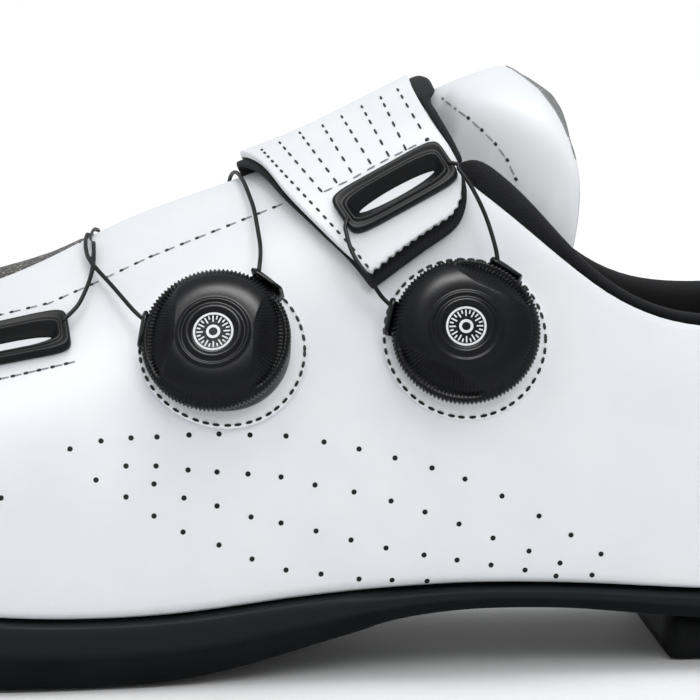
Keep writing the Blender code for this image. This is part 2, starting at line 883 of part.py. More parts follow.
def build_anchor(name):
    station, around, places = ANCHORS[name]
    seat = Seat(station, around)
    rings = []
    for own, height in ((1.0, 0.0), (1.0, 0.6), (0.76, 1.0)):
        ring = []
        for right, up in circle(16, 1.0):
            right = math.copysign(abs(right) ** 0.5, right) * ANCHOR_LENGTH / 2 * own
            up = math.copysign(abs(up) ** 0.5, up) * ANCHOR_WIDTH / 2 * own
            ring.append(seat.over(right, up, GAP + ANCHOR_HEIGHT * height))
        rings.append(ring)
    item = loft(name, rings, "plastic")
    for place in places:
        inner = seat.over(place, -0.0002, 0.0018)
        outer = seat.over(place, -ANCHOR_WIDTH * 0.42, 0.0018)
        mouths[name].append((inner, outer, outer + (outer - inner).normalized() * 0.0016))
    return item


def build_dial(name):
    station, around, axis = DIALS[name]
    seat = Seat(station, around, 0.0, axis)
    patch = []
    low = GAP
    high = GAP + PATCH_THICKNESS
    for share, height in ((0.12, low), (0.55, low), (1.0, low), (1.0, high), (0.55, high), (0.12, high)):
        ring = circle(PATCH_STEPS, PATCH_RADIUS * share)
        patch.append([seat.over(right, up, height) for right, up in ring])
    loft("dial_patch_" + name, patch, "leather")
    foot = high + GAP
    rings = []
    for share in (0.15, 0.6, 1.0):
        ring = circle(PATCH_STEPS, HOUSING_RADIUS * share)
        rings.append([seat.over(right, up, foot) for right, up in ring])
    ring = circle(PATCH_STEPS, HOUSING_RADIUS)
    rings.append([seat.at(right, up, HOUSING_TOP) for right, up in ring])
    housing = loft("dial_base_" + name, rings, "plastic")
    for number, (angle, mouth_side, swing) in enumerate(EARS[name]):
        turn = math.radians(angle)
        out = seat.right * math.cos(turn) + seat.up * math.sin(turn)
        side = seat.normal.cross(out)
        drops = []
        for reach in (EAR_FOOT, EAR_FAR):
            for shift in (-EAR_WIDTH / 2, 0.0, EAR_WIDTH / 2):
                place = out * reach + side * shift
                drops.append(seat.drop(place.dot(seat.right), place.dot(seat.up)))
        bottom = max(max(drops) + foot, foot - 0.0008)
        profile = (
            (EAR_FOOT, bottom),
            (EAR_FAR, bottom),
            (EAR_FAR, EAR_TOP - 0.0008),
            (EAR_FAR - 0.0006, EAR_TOP),
            (EAR_NEAR, EAR_TOP),
            (EAR_NEAR, HOUSING_TOP - 0.0001),
            (EAR_FOOT, HOUSING_TOP - 0.0001),
        )
        rings = []
        for shift in (-EAR_WIDTH / 2, EAR_WIDTH / 2):
            ring = []
            for reach, height in profile:
                ring.append(seat.centre + out * reach + side * shift + seat.normal * height)
            rings.append(ring)
        ear = loft("ear_" + name + str(number), rings, None, cutters)
        boolean(housing, ear, "UNION")
        swing = math.radians(swing)
        away = out * math.cos(swing) + side * math.sin(swing)
        mouth = seat.centre + seat.normal * EAR_MOUTH + out * (EAR_FAR + MOUTH_REACH) + side * mouth_side
        mouths[name].append((mouth - away * MOUTH_DEPTH, mouth, mouth + away * MOUTH_CLEAR))
    build_knob(name, seat)
    return housing


def build_knob(name, seat):
    mesh = bpy.data.meshes.new("dial_knob_" + name)
    points = [(radius, 0.0, height) for radius, height in KNOB_PROFILE]
    mesh.from_pydata(points, [(row, row + 1) for row in range(len(points) - 1)], [])
    item = bpy.data.objects.new("dial_knob_" + name, mesh)
    mesh.materials.append(materials["plastic"])
    parts.objects.link(item)
    spin = item.modifiers.new("spin", "SCREW")
    spin.steps = KNOB_STEPS
    spin.render_steps = KNOB_STEPS
    spin.use_merge_vertices = True
    spin.merge_threshold = 0.00001
    frame = Matrix((seat.right, seat.up, seat.normal)).transposed().to_4x4()
    item.matrix_world = Matrix.Translation(seat.centre) @ frame


def cable_path(name):
    """Points along a cable, from one mouth to the other."""
    start, finish = CABLE_ENDS[name]
    first = mouths[start[0]][start[1]]
    last = mouths[finish[0]][finish[1]]
    middle = [on_last(*row) for row in CABLES[name]]
    guide = [first[0], first[1], first[2]] + middle + [last[2], last[1], last[0]]
    path = []
    for place in range(len(guide) - 1):
        here = guide[place]
        after = guide[place + 1]
        before = guide[max(place - 1, 0)]
        beyond = guide[min(place + 2, len(guide) - 1)]
        steps = 1 if (after - here).length < 0.0025 else CABLE_STEPS
        for step in range(steps):
            part = step / steps
            bend = (after - before) * 0.5 * part * (1 - part) ** 2
            bend += (beyond - here) * 0.5 * part * part * (part - 1)
            flat = here * (1 + 2 * part) * (1 - part) ** 2 + after * part * part * (3 - 2 * part)
            path.append(flat + bend)
    path.append(guide[-1])
    return path


def build_cables(holders):
    for name, ends in CABLE_ENDS.items():
        for piece, mouth in ends:
            inner, outer, away = mouths[piece][mouth]
            deep = inner + (inner - outer).normalized() * 0.0006
            bore = tube("bore_" + name + "_" + piece, [deep, outer, away], BORE, None, cutters, 8)
            boolean(holders[piece], bore, "DIFFERENCE")
    joined = tube("cable_front", cable_path("front_left"), CABLE_RADIUS, "cable", parts, CABLE_SIDES)
    run = cable_path("front_guide")
    other = tube("run_to_guide", run, CABLE_RADIUS, None, cutters, CABLE_SIDES)
    boolean(joined, other, "UNION")
    for name in ("front_top", "front_far", "strap_left", "strap_right"):
        tube("cable_" + name, cable_path(name), CABLE_RADIUS, "cable", parts, CABLE_SIDES)


def centre_all():
    """Move everything so that the shoe's box stands on its middle at the origin."""
    bpy.context.view_layer.update()
    graph = bpy.context.evaluated_depsgraph_get()
    low = Vector((1.0, 1.0, 1.0))
    high = Vector((-1.0, -1.0, -1.0))
    for item in parts.objects:
        shown = item.evaluated_get(graph)
        for vertex in shown.data.vertices:
            point = shown.matrix_world @ vertex.co
            low = Vector(map(min, low, point))
            high = Vector(map(max, high, point))
    shift = Vector((-(low.x + high.x) / 2, -(low.y + high.y) / 2, -low.z))
    for item in list(parts.objects) + list(cutters.objects):
        item.matrix_world = Matrix.Translation(shift) @ item.matrix_world


for leftover in list(bpy.data.objects):
    bpy.data.objects.remove(leftover, do_unlink=True)

stations = list(np.linspace(0.0, VAMP_STATION, 11))
stations += list(np.linspace(VAMP_STATION, 1.0, STATION_STEPS - 9))[1:]
stations = sorted(stations + [LINING_FRONT])
edge_line = np.array([(bottom_point(value, -1).x, bottom_point(value, -1).z) for value in stations])

tree_points = []
tree_faces = []
TREE_WIDE = 121
TREE_TALL = 97
for column in range(TREE_WIDE):
    for row in range(TREE_TALL):
        tree_points.append(bare_point(column / (TREE_WIDE - 1), 2 * CROWN * row / (TREE_TALL - 1)))
for column in range(TREE_WIDE - 1):
    for row in range(TREE_TALL - 1):
        first = column * TREE_TALL + row
        tree_faces.append((first, first + TREE_TALL, first + TREE_TALL + 1, first + 1))
last_tree = BVHTree.FromPolygons(tree_points, tree_faces)

parts = new_collection("cycling_shoe")
cutters = new_collection("cutters")
materials = {name: make_material(name) for name in MATERIALS}
mouths = {name: [] for name in list(GUIDES) + list(ANCHORS) + list(DIALS)}
holders = {}

build_sole()
build_heel_block()
build_insole()
build_upper()
build_lining()
build_tongue()
build_tongue_pad()
build_strap()
for name in GUIDES:
    holders[name] = build_guide(name)
for name in ANCHORS:
    holders[name] = build_anchor(name)
for name in DIALS:
    holders[name] = build_dial(name)
build_cables(holders)
centre_all()
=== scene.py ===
import math

import bmesh
import bpy
from mathutils import Matrix, Vector
from mathutils.bvhtree import BVHTree


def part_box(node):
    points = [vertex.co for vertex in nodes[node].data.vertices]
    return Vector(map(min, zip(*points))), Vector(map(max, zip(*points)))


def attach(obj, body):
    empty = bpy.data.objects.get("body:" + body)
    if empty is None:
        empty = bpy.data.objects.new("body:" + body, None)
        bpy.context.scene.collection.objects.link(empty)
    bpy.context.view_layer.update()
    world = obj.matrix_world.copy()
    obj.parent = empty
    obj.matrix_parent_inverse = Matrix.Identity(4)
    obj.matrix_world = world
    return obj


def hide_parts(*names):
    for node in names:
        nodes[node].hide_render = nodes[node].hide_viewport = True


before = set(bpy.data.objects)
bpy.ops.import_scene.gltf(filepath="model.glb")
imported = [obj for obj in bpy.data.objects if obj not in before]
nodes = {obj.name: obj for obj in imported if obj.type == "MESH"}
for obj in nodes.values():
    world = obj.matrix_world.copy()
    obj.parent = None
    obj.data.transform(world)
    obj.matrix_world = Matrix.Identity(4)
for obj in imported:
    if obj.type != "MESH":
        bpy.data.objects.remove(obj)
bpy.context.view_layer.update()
print("frame loaded with", len(nodes), "nodes")

# The camera stands on the outer side, a little above the shoe. Distances in metres.
cameraSet = {
    "azimuth": -3.0,
    "elevation": 6.05,
    "distance": 0.6,
    "focalPixels": 3054.0,
    "target": (0.02526, 0.0017, 0.0567),
}


def makeCamera():
    turn = math.radians(cameraSet["azimuth"])
    rise = math.radians(cameraSet["elevation"])
    back = Vector((math.sin(turn) * math.cos(rise), -math.cos(turn) * math.cos(rise), math.sin(rise)))
    right = Vector((math.cos(turn), math.sin(turn), 0.0))
    up = back.cross(right)
    eye = Vector(cameraSet["target"]) + back * cameraSet["distance"]
    data = bpy.data.cameras.new("camera")
    data.sensor_width = 36.0
    data.lens = cameraSet["focalPixels"] / 700 * 36.0
    data.clip_start = 0.01
    camera = bpy.data.objects.new("camera", data)
    bpy.context.scene.collection.objects.link(camera)
    camera.matrix_world = Matrix.Translation(eye) @ Matrix((right, up, back)).transposed().to_4x4()
    bpy.context.scene.camera = camera
    return eye, right, up, -back


eye, viewRight, viewUp, viewForward = makeCamera()


def pixelRay(across, down):
    focal = cameraSet["focalPixels"]
    ray = viewForward + viewRight * ((across - 350) / focal) + viewUp * ((350 - down) / focal)
    return ray.normalized()


def pixelOf(point):
    arm = Vector(point) - eye
    depth = arm.dot(viewForward)
    focal = cameraSet["focalPixels"]
    return 350 + arm.dot(viewRight) / depth * focal, 350 - arm.dot(viewUp) / depth * focal


def between(rows, value):
    # A value read off a table of pairs, straight between its rows and held at its ends.
    if value <= rows[0][0]:
        return rows[0][1]
    for low, high in zip(rows, rows[1:]):
        if value <= high[0]:
            return low[1] + (high[1] - low[1]) * (value - low[0]) / (high[0] - low[0])
    return rows[-1][1]


def fade(value, low, high):
    part = min(1.0, max(0.0, (value - low) / (high - low)))
    return part * part * (3 - 2 * part)


# Shared effects, each a group of nodes.
def newGroup(name, inputs, outputs):
    group = bpy.data.node_groups.new(name, "ShaderNodeTree")
    for label, value in inputs:
        socket = group.interface.new_socket(label, in_out="INPUT", socket_type="NodeSocketFloat")
        socket.default_value = value
    for label in outputs:
        group.interface.new_socket(label, in_out="OUTPUT", socket_type="NodeSocketFloat")
    return group, group.nodes.new("NodeGroupInput"), group.nodes.new("NodeGroupOutput")


def mathNode(tree, operation, first, second=None):
    node = tree.nodes.new("ShaderNodeMath")
    node.operation = operation
    for place, value in enumerate((first, second)):
        if value is None:
            continue
        if isinstance(value, (int, float)):
            node.inputs[place].default_value = value
        else:
            tree.links.new(value, node.inputs[place])
    return node.outputs[0]


def noiseNode(tree, coordinates, scale, detail=2.0):
    node = tree.nodes.new("ShaderNodeTexNoise")
    node.inputs["Detail"].default_value = detail
    tree.links.new(coordinates, node.inputs["Vector"])
    if isinstance(scale, (int, float)):
        node.inputs["Scale"].default_value = scale
    else:
        tree.links.new(scale, node.inputs["Scale"])
    return node.outputs["Fac"]


def makeGrainGroup():
    group, entry, leave = newGroup(
        "leatherGrain", (("Grain", 2600.0), ("Pores", 900.0)), ("Height", "Tone"))
    place = group.nodes.new("ShaderNodeTexCoord").outputs["Object"]
    cells = group.nodes.new("ShaderNodeTexVoronoi")
    group.links.new(place, cells.inputs["Vector"])
    group.links.new(entry.outputs["Grain"], cells.inputs["Scale"])
    soft = noiseNode(group, place, entry.outputs["Pores"], 3.0)
    height = mathNode(group, "ADD", mathNode(group, "MULTIPLY", cells.outputs["Distance"], 0.6), soft)
    group.links.new(height, leave.inputs["Height"])
    group.links.new(noiseNode(group, place, 55.0, 3.0), leave.inputs["Tone"])
    return group


def makeWeaveGroup():
    # Two sets of threads that cross, wavering a little, for knitted linings.
    group, entry, leave = newGroup("knitWeave", (("Threads", 1400.0), ("Waver", 0.0006)), ("Height", "Gaps"))
    place = group.nodes.new("ShaderNodeTexCoord").outputs["Object"]
    parts = group.nodes.new("ShaderNodeSeparateXYZ")
    group.links.new(place, parts.inputs[0])
    waver = mathNode(group, "MULTIPLY", noiseNode(group, place, 260.0), entry.outputs["Waver"])
    along = mathNode(group, "ADD", parts.outputs["X"], parts.outputs["Y"])
    across = mathNode(group, "SUBTRACT", parts.outputs["Z"], parts.outputs["Y"])
    waves = []
    for value in (mathNode(group, "ADD", along, across), mathNode(group, "SUBTRACT", along, across)):
        bent = mathNode(group, "ADD", value, waver)
        turns = mathNode(group, "MULTIPLY", bent, mathNode(group, "MULTIPLY", entry.outputs["Threads"], 3.1))
        waves.append(mathNode(group, "ABSOLUTE", mathNode(group, "SINE", turns)))
    height = mathNode(group, "MAXIMUM", waves[0], waves[1])
    group.links.new(height, leave.inputs["Height"])
    group.links.new(mathNode(group, "SUBTRACT", 1.0, height), leave.inputs["Gaps"])
    return group


def makeWearGroup():
    # Faint handling marks that change how glossy a moulded surface is.
    group, entry, leave = newGroup("handledSurface", (("Patches", 90.0), ("Specks", 1500.0)),
                                   ("Shine", "Height"))
    place = group.nodes.new("ShaderNodeTexCoord").outputs["Object"]
    broad = noiseNode(group, place, entry.outputs["Patches"], 4.0)
    fine = noiseNode(group, place, entry.outputs["Specks"], 2.0)
    group.links.new(mathNode(group, "ADD", mathNode(group, "MULTIPLY", broad, 0.7),
                             mathNode(group, "MULTIPLY", fine, 0.3)), leave.inputs["Shine"])
    group.links.new(fine, leave.inputs["Height"])
    return group


grainGroup = makeGrainGroup()
weaveGroup = makeWeaveGroup()
wearGroup = makeWearGroup()
print("shared effects ready")


def newMaterial(name, sockets):
    material = bpy.data.materials.new(name)
    material.use_nodes = True
    tree = material.node_tree
    shader = tree.nodes["Principled BSDF"]
    for label, value in sockets.items():
        shader.inputs[label].default_value = value
    return material, tree, shader


def addGroup(tree, group, values):
    node = tree.nodes.new("ShaderNodeGroup")
    node.node_tree = group
    for label, value in values.items():
        node.inputs[label].default_value = value
    return node


def addBump(tree, shader, height, strength, distance):
    bump = tree.nodes.new("ShaderNodeBump")
    bump.inputs["Strength"].default_value = strength
    bump.inputs["Distance"].default_value = distance
    tree.links.new(height, bump.inputs["Height"])
    tree.links.new(bump.outputs["Normal"], shader.inputs["Normal"])


def mapRange(tree, value, low, high, fromLow=0.3, fromHigh=0.7):
    node = tree.nodes.new("ShaderNodeMapRange")
    node.inputs["From Min"].default_value = fromLow
    node.inputs["From Max"].default_value = fromHigh
    node.inputs["To Min"].default_value = low
    node.inputs["To Max"].default_value = high
    tree.links.new(value, node.inputs["Value"])
    return node.outputs["Result"]


def mixColours(tree, factor, first, second):
    node = tree.nodes.new("ShaderNodeMix")
    node.data_type = "RGBA"
    node.inputs["A"].default_value = (*first, 1.0)
    node.inputs["B"].default_value = (*second, 1.0)
    tree.links.new(factor, node.inputs["Factor"])
    return node.outputs["Result"]


# Finishes. Two colours are the low and high ends of the surface's own variation.
finishSet = {
    "leather": {"low": (0.80, 0.815, 0.85), "high": (0.85, 0.86, 0.885), "roughness": (0.40, 0.50)},
    # The sole's upper colour is a painted reflection, laid on the upper part of its side.
    "sole": {"low": (0.003, 0.004, 0.0045), "high": (0.007, 0.008, 0.009), "roughness": (0.42, 0.54),
             "shine": 0.06, "upper": (0.0125, 0.0155, 0.0175)},
    "rubber": {"low": (0.003, 0.0035, 0.004), "high": (0.007, 0.0075, 0.008), "roughness": (0.62, 0.78),
               "shine": 0.16},
    "plastic": {"low": (0.0015, 0.0018, 0.0025), "high": (0.004, 0.0045, 0.006), "roughness": (0.27, 0.36),
                "shine": 0.17},
    "guide": {"low": (0.002, 0.0025, 0.003), "high": (0.005, 0.0055, 0.0065), "roughness": (0.40, 0.52),
              "shine": 0.17},
    "cable": {"low": (0.002, 0.002, 0.0025), "high": (0.005, 0.005, 0.006), "roughness": (0.40, 0.50),
              "shine": 0.2},
    "lining": {"low": (0.002, 0.002, 0.0025), "high": (0.011, 0.0115, 0.013)},
    "mesh": {"low": (0.005, 0.005, 0.005), "high": (0.26, 0.24, 0.19)},
    "cloth": {"low": (0.13, 0.135, 0.135), "high": (0.25, 0.255, 0.255)},
    "insole": {"low": (0.020, 0.020, 0.022), "high": (0.055, 0.055, 0.060)},
}


def makeLeather(name):
    values = finishSet["leather"]
    material, tree, shader = newMaterial(name, {
        "IOR": 1.48, "Specular IOR Level": 0.22, "Coat Weight": 0.05, "Coat Roughness": 0.28})
    grain = addGroup(tree, grainGroup, {"Grain": 2600.0, "Pores": 900.0})
    tone = mixColours(tree, mapRange(tree, grain.outputs["Tone"], 0.0, 1.0), values["low"], values["high"])
    tree.links.new(tone, shader.inputs["Base Color"])
    tree.links.new(mapRange(tree, grain.outputs["Tone"], *values["roughness"]), shader.inputs["Roughness"])
    addBump(tree, shader, grain.outputs["Height"], 0.10, 0.00012)
    return material


def makeMoulded(name, key, bump, specks=1500.0):
    values = finishSet[key]
    material, tree, shader = newMaterial(name, {"IOR": 1.5, "Specular IOR Level": values["shine"]})
    wear = addGroup(tree, wearGroup, {"Patches": 90.0, "Specks": specks})
    tone = mixColours(tree, mapRange(tree, wear.outputs["Shine"], 0.0, 1.0), values["low"], values["high"])
    tree.links.new(tone, shader.inputs["Base Color"])
    tree.links.new(mapRange(tree, wear.outputs["Shine"], *values["roughness"]), shader.inputs["Roughness"])
    addBump(tree, shader, wear.outputs["Height"], bump, 0.0001)
    return material


def makeSole():
    # The upper part of the side is painted lighter, a painted reflection of the sky on the face that leans
    # upward; the lower part is near black.
    values = finishSet["sole"]
    material, tree, shader = newMaterial("soleBlack", {"IOR": 1.5, "Specular IOR Level": values["shine"]})
    wear = addGroup(tree, wearGroup, {"Patches": 90.0, "Specks": 1500.0})
    band = tree.nodes.new("ShaderNodeAttribute")
    band.attribute_name = "band"
    paintedReflectionPart = mapRange(tree, band.outputs["Fac"], 0.0, 1.0, 0.44, 0.60)
    tone = mixColours(tree, mapRange(tree, wear.outputs["Shine"], 0.0, 1.0), values["low"], values["high"])
    both = tree.nodes.new("ShaderNodeMix")
    both.data_type = "RGBA"
    both.inputs["B"].default_value = (*values["upper"], 1.0)
    tree.links.new(paintedReflectionPart, both.inputs["Factor"])
    tree.links.new(tone, both.inputs["A"])
    tree.links.new(both.outputs["Result"], shader.inputs["Base Color"])
    tree.links.new(mapRange(tree, wear.outputs["Shine"], *values["roughness"]), shader.inputs["Roughness"])
    addBump(tree, shader, wear.outputs["Height"], 0.05, 0.0001)
    return material


def makeKnit(name, key, threads, bump, sheen):
    values = finishSet[key]
    material, tree, shader = newMaterial(name, {
        "Roughness": 0.86, "Sheen Weight": sheen, "Sheen Roughness": 0.45, "Specular IOR Level": 0.2})
    weave = addGroup(tree, weaveGroup, {"Threads": threads, "Waver": 0.0006})
    tone = mixColours(tree, weave.outputs["Height"], values["low"], values["high"])
    tree.links.new(tone, shader.inputs["Base Color"])
    addBump(tree, shader, weave.outputs["Height"], bump, 0.0002)
    return material


def makeMesh():
    # Open mesh: light threads round dark holes, broken up by slubs.
    values = finishSet["mesh"]
    material, tree, shader = newMaterial("speckledMesh", {"Roughness": 0.8, "Sheen Weight": 0.2})
    place = tree.nodes.new("ShaderNodeTexCoord").outputs["Object"]
    cells = tree.nodes.new("ShaderNodeTexVoronoi")
    cells.feature = "DISTANCE_TO_EDGE"
    cells.inputs["Scale"].default_value = 900.0
    tree.links.new(place, cells.inputs["Vector"])
    threads = mapRange(tree, cells.outputs["Distance"], 1.0, 0.0, 0.04, 0.20)
    slubs = mapRange(tree, noiseNode(tree, place, 900.0, 2.0), 0.0, 1.0, 0.47, 0.62)
    mask = mathNode(tree, "MULTIPLY", threads, slubs)
    tree.links.new(mixColours(tree, mask, values["low"], values["high"]), shader.inputs["Base Color"])
    addBump(tree, shader, threads, 0.6, 0.0003)
    return material


def makePlain(name, colour, roughness):
    material, tree, shader = newMaterial(name, {"IOR": 1.45})
    wear = addGroup(tree, wearGroup, {"Patches": 200.0, "Specks": 3000.0})
    darker = [value * 0.8 for value in colour]
    tone = mixColours(tree, mapRange(tree, wear.outputs["Shine"], 0.0, 1.0), darker, colour)
    tree.links.new(tone, shader.inputs["Base Color"])
    tree.links.new(mapRange(tree, wear.outputs["Shine"], roughness - 0.05, roughness + 0.05),
                   shader.inputs["Roughness"])
    addBump(tree, shader, wear.outputs["Height"], 0.15, 0.00005)
    return material


leather = makeLeather("whiteLeather")
patchLeather = makeLeather("patchLeather")
soleFinish = makeSole()
rubberFinish = makeMoulded("heelRubber", "rubber", 0.25, 2400.0)
plasticFinish = makeMoulded("dialBlack", "plastic", 0.04, 1800.0)
guideFinish = makeMoulded("guideBlack", "guide", 0.06, 2600.0)
cableFinish = makeMoulded("cableBlack", "cable", 0.2, 5000.0)
liningFinish = makeKnit("liningKnit", "lining", 1500.0, 0.5, 0.05)
insoleFinish = makeKnit("insoleKnit", "insole", 1100.0, 0.4, 0.2)
meshFinish = makeMesh()
blackThreadAndHoleShade = makePlain("blackThreadAndHoleShade", (0.010, 0.010, 0.012), 0.7)
greyThreadAndPaintedShade = makePlain("greyThreadAndPaintedShade", (0.30, 0.31, 0.33), 0.7)
# The dark of the pinholes is painted shade of the holes.
paintedHoleShade = makePlain("paintedHoleShade", (0.004, 0.004, 0.005), 0.9)
greyFabric = makeKnit("tongueInnerKnit", "cloth", 1500.0, 0.4, 0.1)
markFinish = makePlain("indexWhite", (0.82, 0.83, 0.84), 0.45)
print("materials ready")


# Making pieces.
def mergedCopy(nodeName, quads=True):
    mesh = bmesh.new()
    mesh.from_mesh(nodes[nodeName].data)
    bmesh.ops.remove_doubles(mesh, verts=mesh.verts, dist=0.000002)
    if quads:
        bmesh.ops.join_triangles(mesh, faces=mesh.faces, angle_face_threshold=math.radians(50),
                                 angle_shape_threshold=math.radians(80))
    return mesh


def showPiece(mesh, name, materials, replaced=(), levels=0, crease=None):
    if crease is not None:
        layer = mesh.edges.layers.float.get("crease_edge") or mesh.edges.layers.float.new("crease_edge")
        limit, weight = crease
        for edge in mesh.edges:
            if len(edge.link_faces) == 2 and edge.calc_face_angle(0.0) > math.radians(limit):
                edge[layer] = weight
    data = bpy.data.meshes.new(name)
    for face in mesh.faces:
        face.smooth = True
    mesh.to_mesh(data)
    mesh.free()
    for material in materials:
        data.materials.append(material)
    piece = bpy.data.objects.new(name, data)
    bpy.context.scene.collection.objects.link(piece)
    if levels:
        finer = piece.modifiers.new("finer", "SUBSURF")
        finer.levels = levels
        finer.render_levels = levels
    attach(piece, "root")
    if replaced:
        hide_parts(*replaced)
    return piece


def settle(piece):
    # The modifiers become part of the mesh, so that later steps can shape and measure it.
    depsgraph = bpy.context.evaluated_depsgraph_get()
    data = bpy.data.meshes.new_from_object(piece.evaluated_get(depsgraph))
    piece.modifiers.clear()
    piece.data = data
    return piece


def surfaceTree(piece):
    data = piece.data
    return BVHTree.FromPolygons([vertex.co for vertex in data.vertices],
                                [face.vertices[:] for face in data.polygons])


# The white upper, lined on its inner faces.
upperSkin = settle(showPiece(mergedCopy("upper"), "upper_skin", [leather], ("upper",),
                             2, (60, 0.35)))
upperTree = surfaceTree(upperSkin)


heartSet = {
    # The height of the middle of the foot by its place along the shoe, and where its line ends.
    "height": ((-0.142, 0.020), (-0.10, 0.024), (-0.06, 0.032), (-0.02, 0.040)),
    "ends": (-0.112, 0.112),
    "behindTongue": (0.012, 0.050),
}


def footHeart(spot):
    low, high = heartSet["ends"]
    return Vector((max(low, min(high, spot.x)), 0.001, between(heartSet["height"], spot.x)))


def tongueHeart(spot):
    back, height = heartSet["behindTongue"]
    return Vector((spot.x + back, 0.001, height))


def lineInside(piece, material, heartOf):
    # Faces that look towards the middle of the shoe get the lining's cloth.
    piece.data.materials.append(material)
    for face in piece.data.polygons:
        if (face.center - heartOf(face.center)).dot(face.normal) < 0:
            face.material_index = 1


lineInside(upperSkin, liningFinish, footHeart)
print("upper made")

# The sole and the heel block.
soleBody = settle(showPiece(mergedCopy("outsole"), "sole_body", [soleFinish], ("outsole",),
                            2, (45, 0.45)))


def addBand(piece, name, steps=70):
    # How far up its side each point of the sole is, from 0 at the bottom edge to 1 at the top edge.
    data = piece.data
    low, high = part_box("outsole")
    width = (high[0] - low[0]) / steps
    rows = [[1.0, 0.0] for _ in range(steps + 1)]
    for vertex in data.vertices:
        if abs(vertex.normal.z) < 0.6:
            row = rows[int((vertex.co.x - low[0]) / width)]
            row[0] = min(row[0], vertex.co.z)
            row[1] = max(row[1], vertex.co.z)
    layer = data.attributes.new(name, "FLOAT", "POINT")
    for vertex in data.vertices:
        place = max(0.0, (vertex.co.x - low[0]) / width - 0.5)
        first = rows[int(place)]
        second = rows[min(int(place) + 1, steps)]
        part = place - int(place)
        bottom = first[0] + (second[0] - first[0]) * part
        top = first[1] + (second[1] - first[1]) * part
        layer.data[vertex.index].value = (vertex.co.z - bottom) / max(top - bottom, 0.001)


# The band places the sole's painted reflection on the upper part of the sole's side.
addBand(soleBody, "band")
showPiece(mergedCopy("heel_block"), "heel_pad", [rubberFinish], ("heel_block",), 2, (45, 0.8))
print("sole made")

# Soft pieces inside and on top.
collarPad = settle(showPiece(mergedCopy("collar_lining"), "collar_pad", [liningFinish],
                             ("collar_lining",), 2))
collarSet = {
    # Pixel columns, the row of the leather's edge there, and how much taller the roll stands over it.
    "edge": ((440, 165), (470, 184), (500, 204), (540, 238), (580, 270), (620, 300)),
    "taller": ((440, 1.9), (470, 1.85), (500, 1.6), (530, 1.4), (560, 1.15), (585, 1.0)),
    "outside": -0.008,
    "lastColumn": 585,
    "pixel": 0.000182,
}


def swellCollar():
    # The roll is fuller where it comes out from under the strap.
    for vertex in collarPad.data.vertices:
        if vertex.co.y > collarSet["outside"]:
            continue
        across, down = pixelOf(vertex.co)
        over = between(collarSet["edge"], across) - down
        if over > 0 and across < collarSet["lastColumn"]:
            vertex.co.z += over * (between(collarSet["taller"], across) - 1) * collarSet["pixel"]


swellCollar()
tonguePad = settle(showPiece(mergedCopy("tongue_pad"), "tongue_cushion", [leather],
                             ("tongue_pad",), 3))
lineInside(tonguePad, greyFabric, tongueHeart)
tongueSet = {
    "rim": ((506, 66), (512, 69), (525, 78), (539, 89), (549, 102), (556, 112), (563, 125), (568, 137),
            (575, 160)),
    # By pixel column: how far the whole corner grows, and how much further its inner face stands out.
    "grow": ((500, 0.0), (520, 1.5), (541, 6.5), (556, 3.5), (570, 0.0)),
    "reach": ((503, 0.0), (520, 3.0), (541, 8.0), (553, 7.5), (563, 4.0), (571, 0.0)),
    "columns": (503, 576),
    "smoothed": (500, 578, 16),
    "pixel": 0.000182,
}


def edgeTongue():
    # Outside a line of pixels the rim turns over to the grey cloth of the tongue's inner face.
    rim = tongueSet["rim"]
    normals = [vertex.normal.copy() for vertex in tonguePad.data.vertices]
    for vertex, normal in zip(tonguePad.data.vertices, normals):
        across, down = pixelOf(vertex.co)
        gap = abs(down - between(rim, across))
        turned = fade(normal.dot(viewForward), -0.25, 0.35)
        push = between(tongueSet["grow"], across) * (1 - fade(gap, 4, 45))
        push += between(tongueSet["reach"], across) * turned * (1 - fade(gap, 6, 40))
        vertex.co += (viewRight * 0.78 + viewUp * 0.62) * push * tongueSet["pixel"]
    mesh = bmesh.new()
    mesh.from_mesh(tonguePad.data)
    first, last, reach = tongueSet["smoothed"]
    corner = []
    for vertex in mesh.verts:
        across, down = pixelOf(vertex.co)
        if first < across < last and abs(down - between(rim, across)) < reach:
            corner.append(vertex)
    for _ in range(5):
        bmesh.ops.smooth_vert(mesh, verts=corner, factor=0.5, use_axis_x=True, use_axis_y=True,
                              use_axis_z=True)
    mesh.to_mesh(tonguePad.data)
    mesh.free()
    for face in tonguePad.data.polygons:
        across, down = pixelOf(face.center)
        first, last = tongueSet["columns"]
        if first < across < last and down < between(rim, across) - 1.0:
            face.material_index = 1


edgeTongue()
tongueTree = surfaceTree(tonguePad)
tongueMesh = settle(showPiece(mergedCopy("tongue_mesh"), "tongue_mesh_skin", [meshFinish],
                              ("tongue_mesh",), 2))
meshSet = {
    # How far the mesh stands up by pixel column, and the places across the shoe where that fades out.
    "rise": ((0, 0.0), (20, 0.0003), (52, 0.0016), (80, 0.0030), (98, 0.0024), (130, 0.0)),
    "fades": (-0.004, 0.012),
}


def raiseMesh():
    for vertex in tongueMesh.data.vertices:
        across, _ = pixelOf(vertex.co)
        vertex.co.z += between(meshSet["rise"], across) * (1 - fade(vertex.co.y, *meshSet["fades"]))


raiseMesh()
showPiece(mergedCopy("insole"), "insole_board", [insoleFinish], ("insole",), 2, (45, 0.5))
print("soft pieces made")

# The instep strap with its lining and bound edge.
strapTop = settle(showPiece(mergedCopy("instep_strap"), "strap_top", [leather],
                            ("instep_strap",), 3, (60, 0.7)))
strapSet = {
    # The strap's free edge in pixels, and the teeth cut in it.
    "end": ((371, 272), (400, 254), (430, 234), (451, 219), (458, 208), (461, 196)),
    "pitch": 9.2,
    "depth": 1.5,
    "pixel": 0.000183,
}


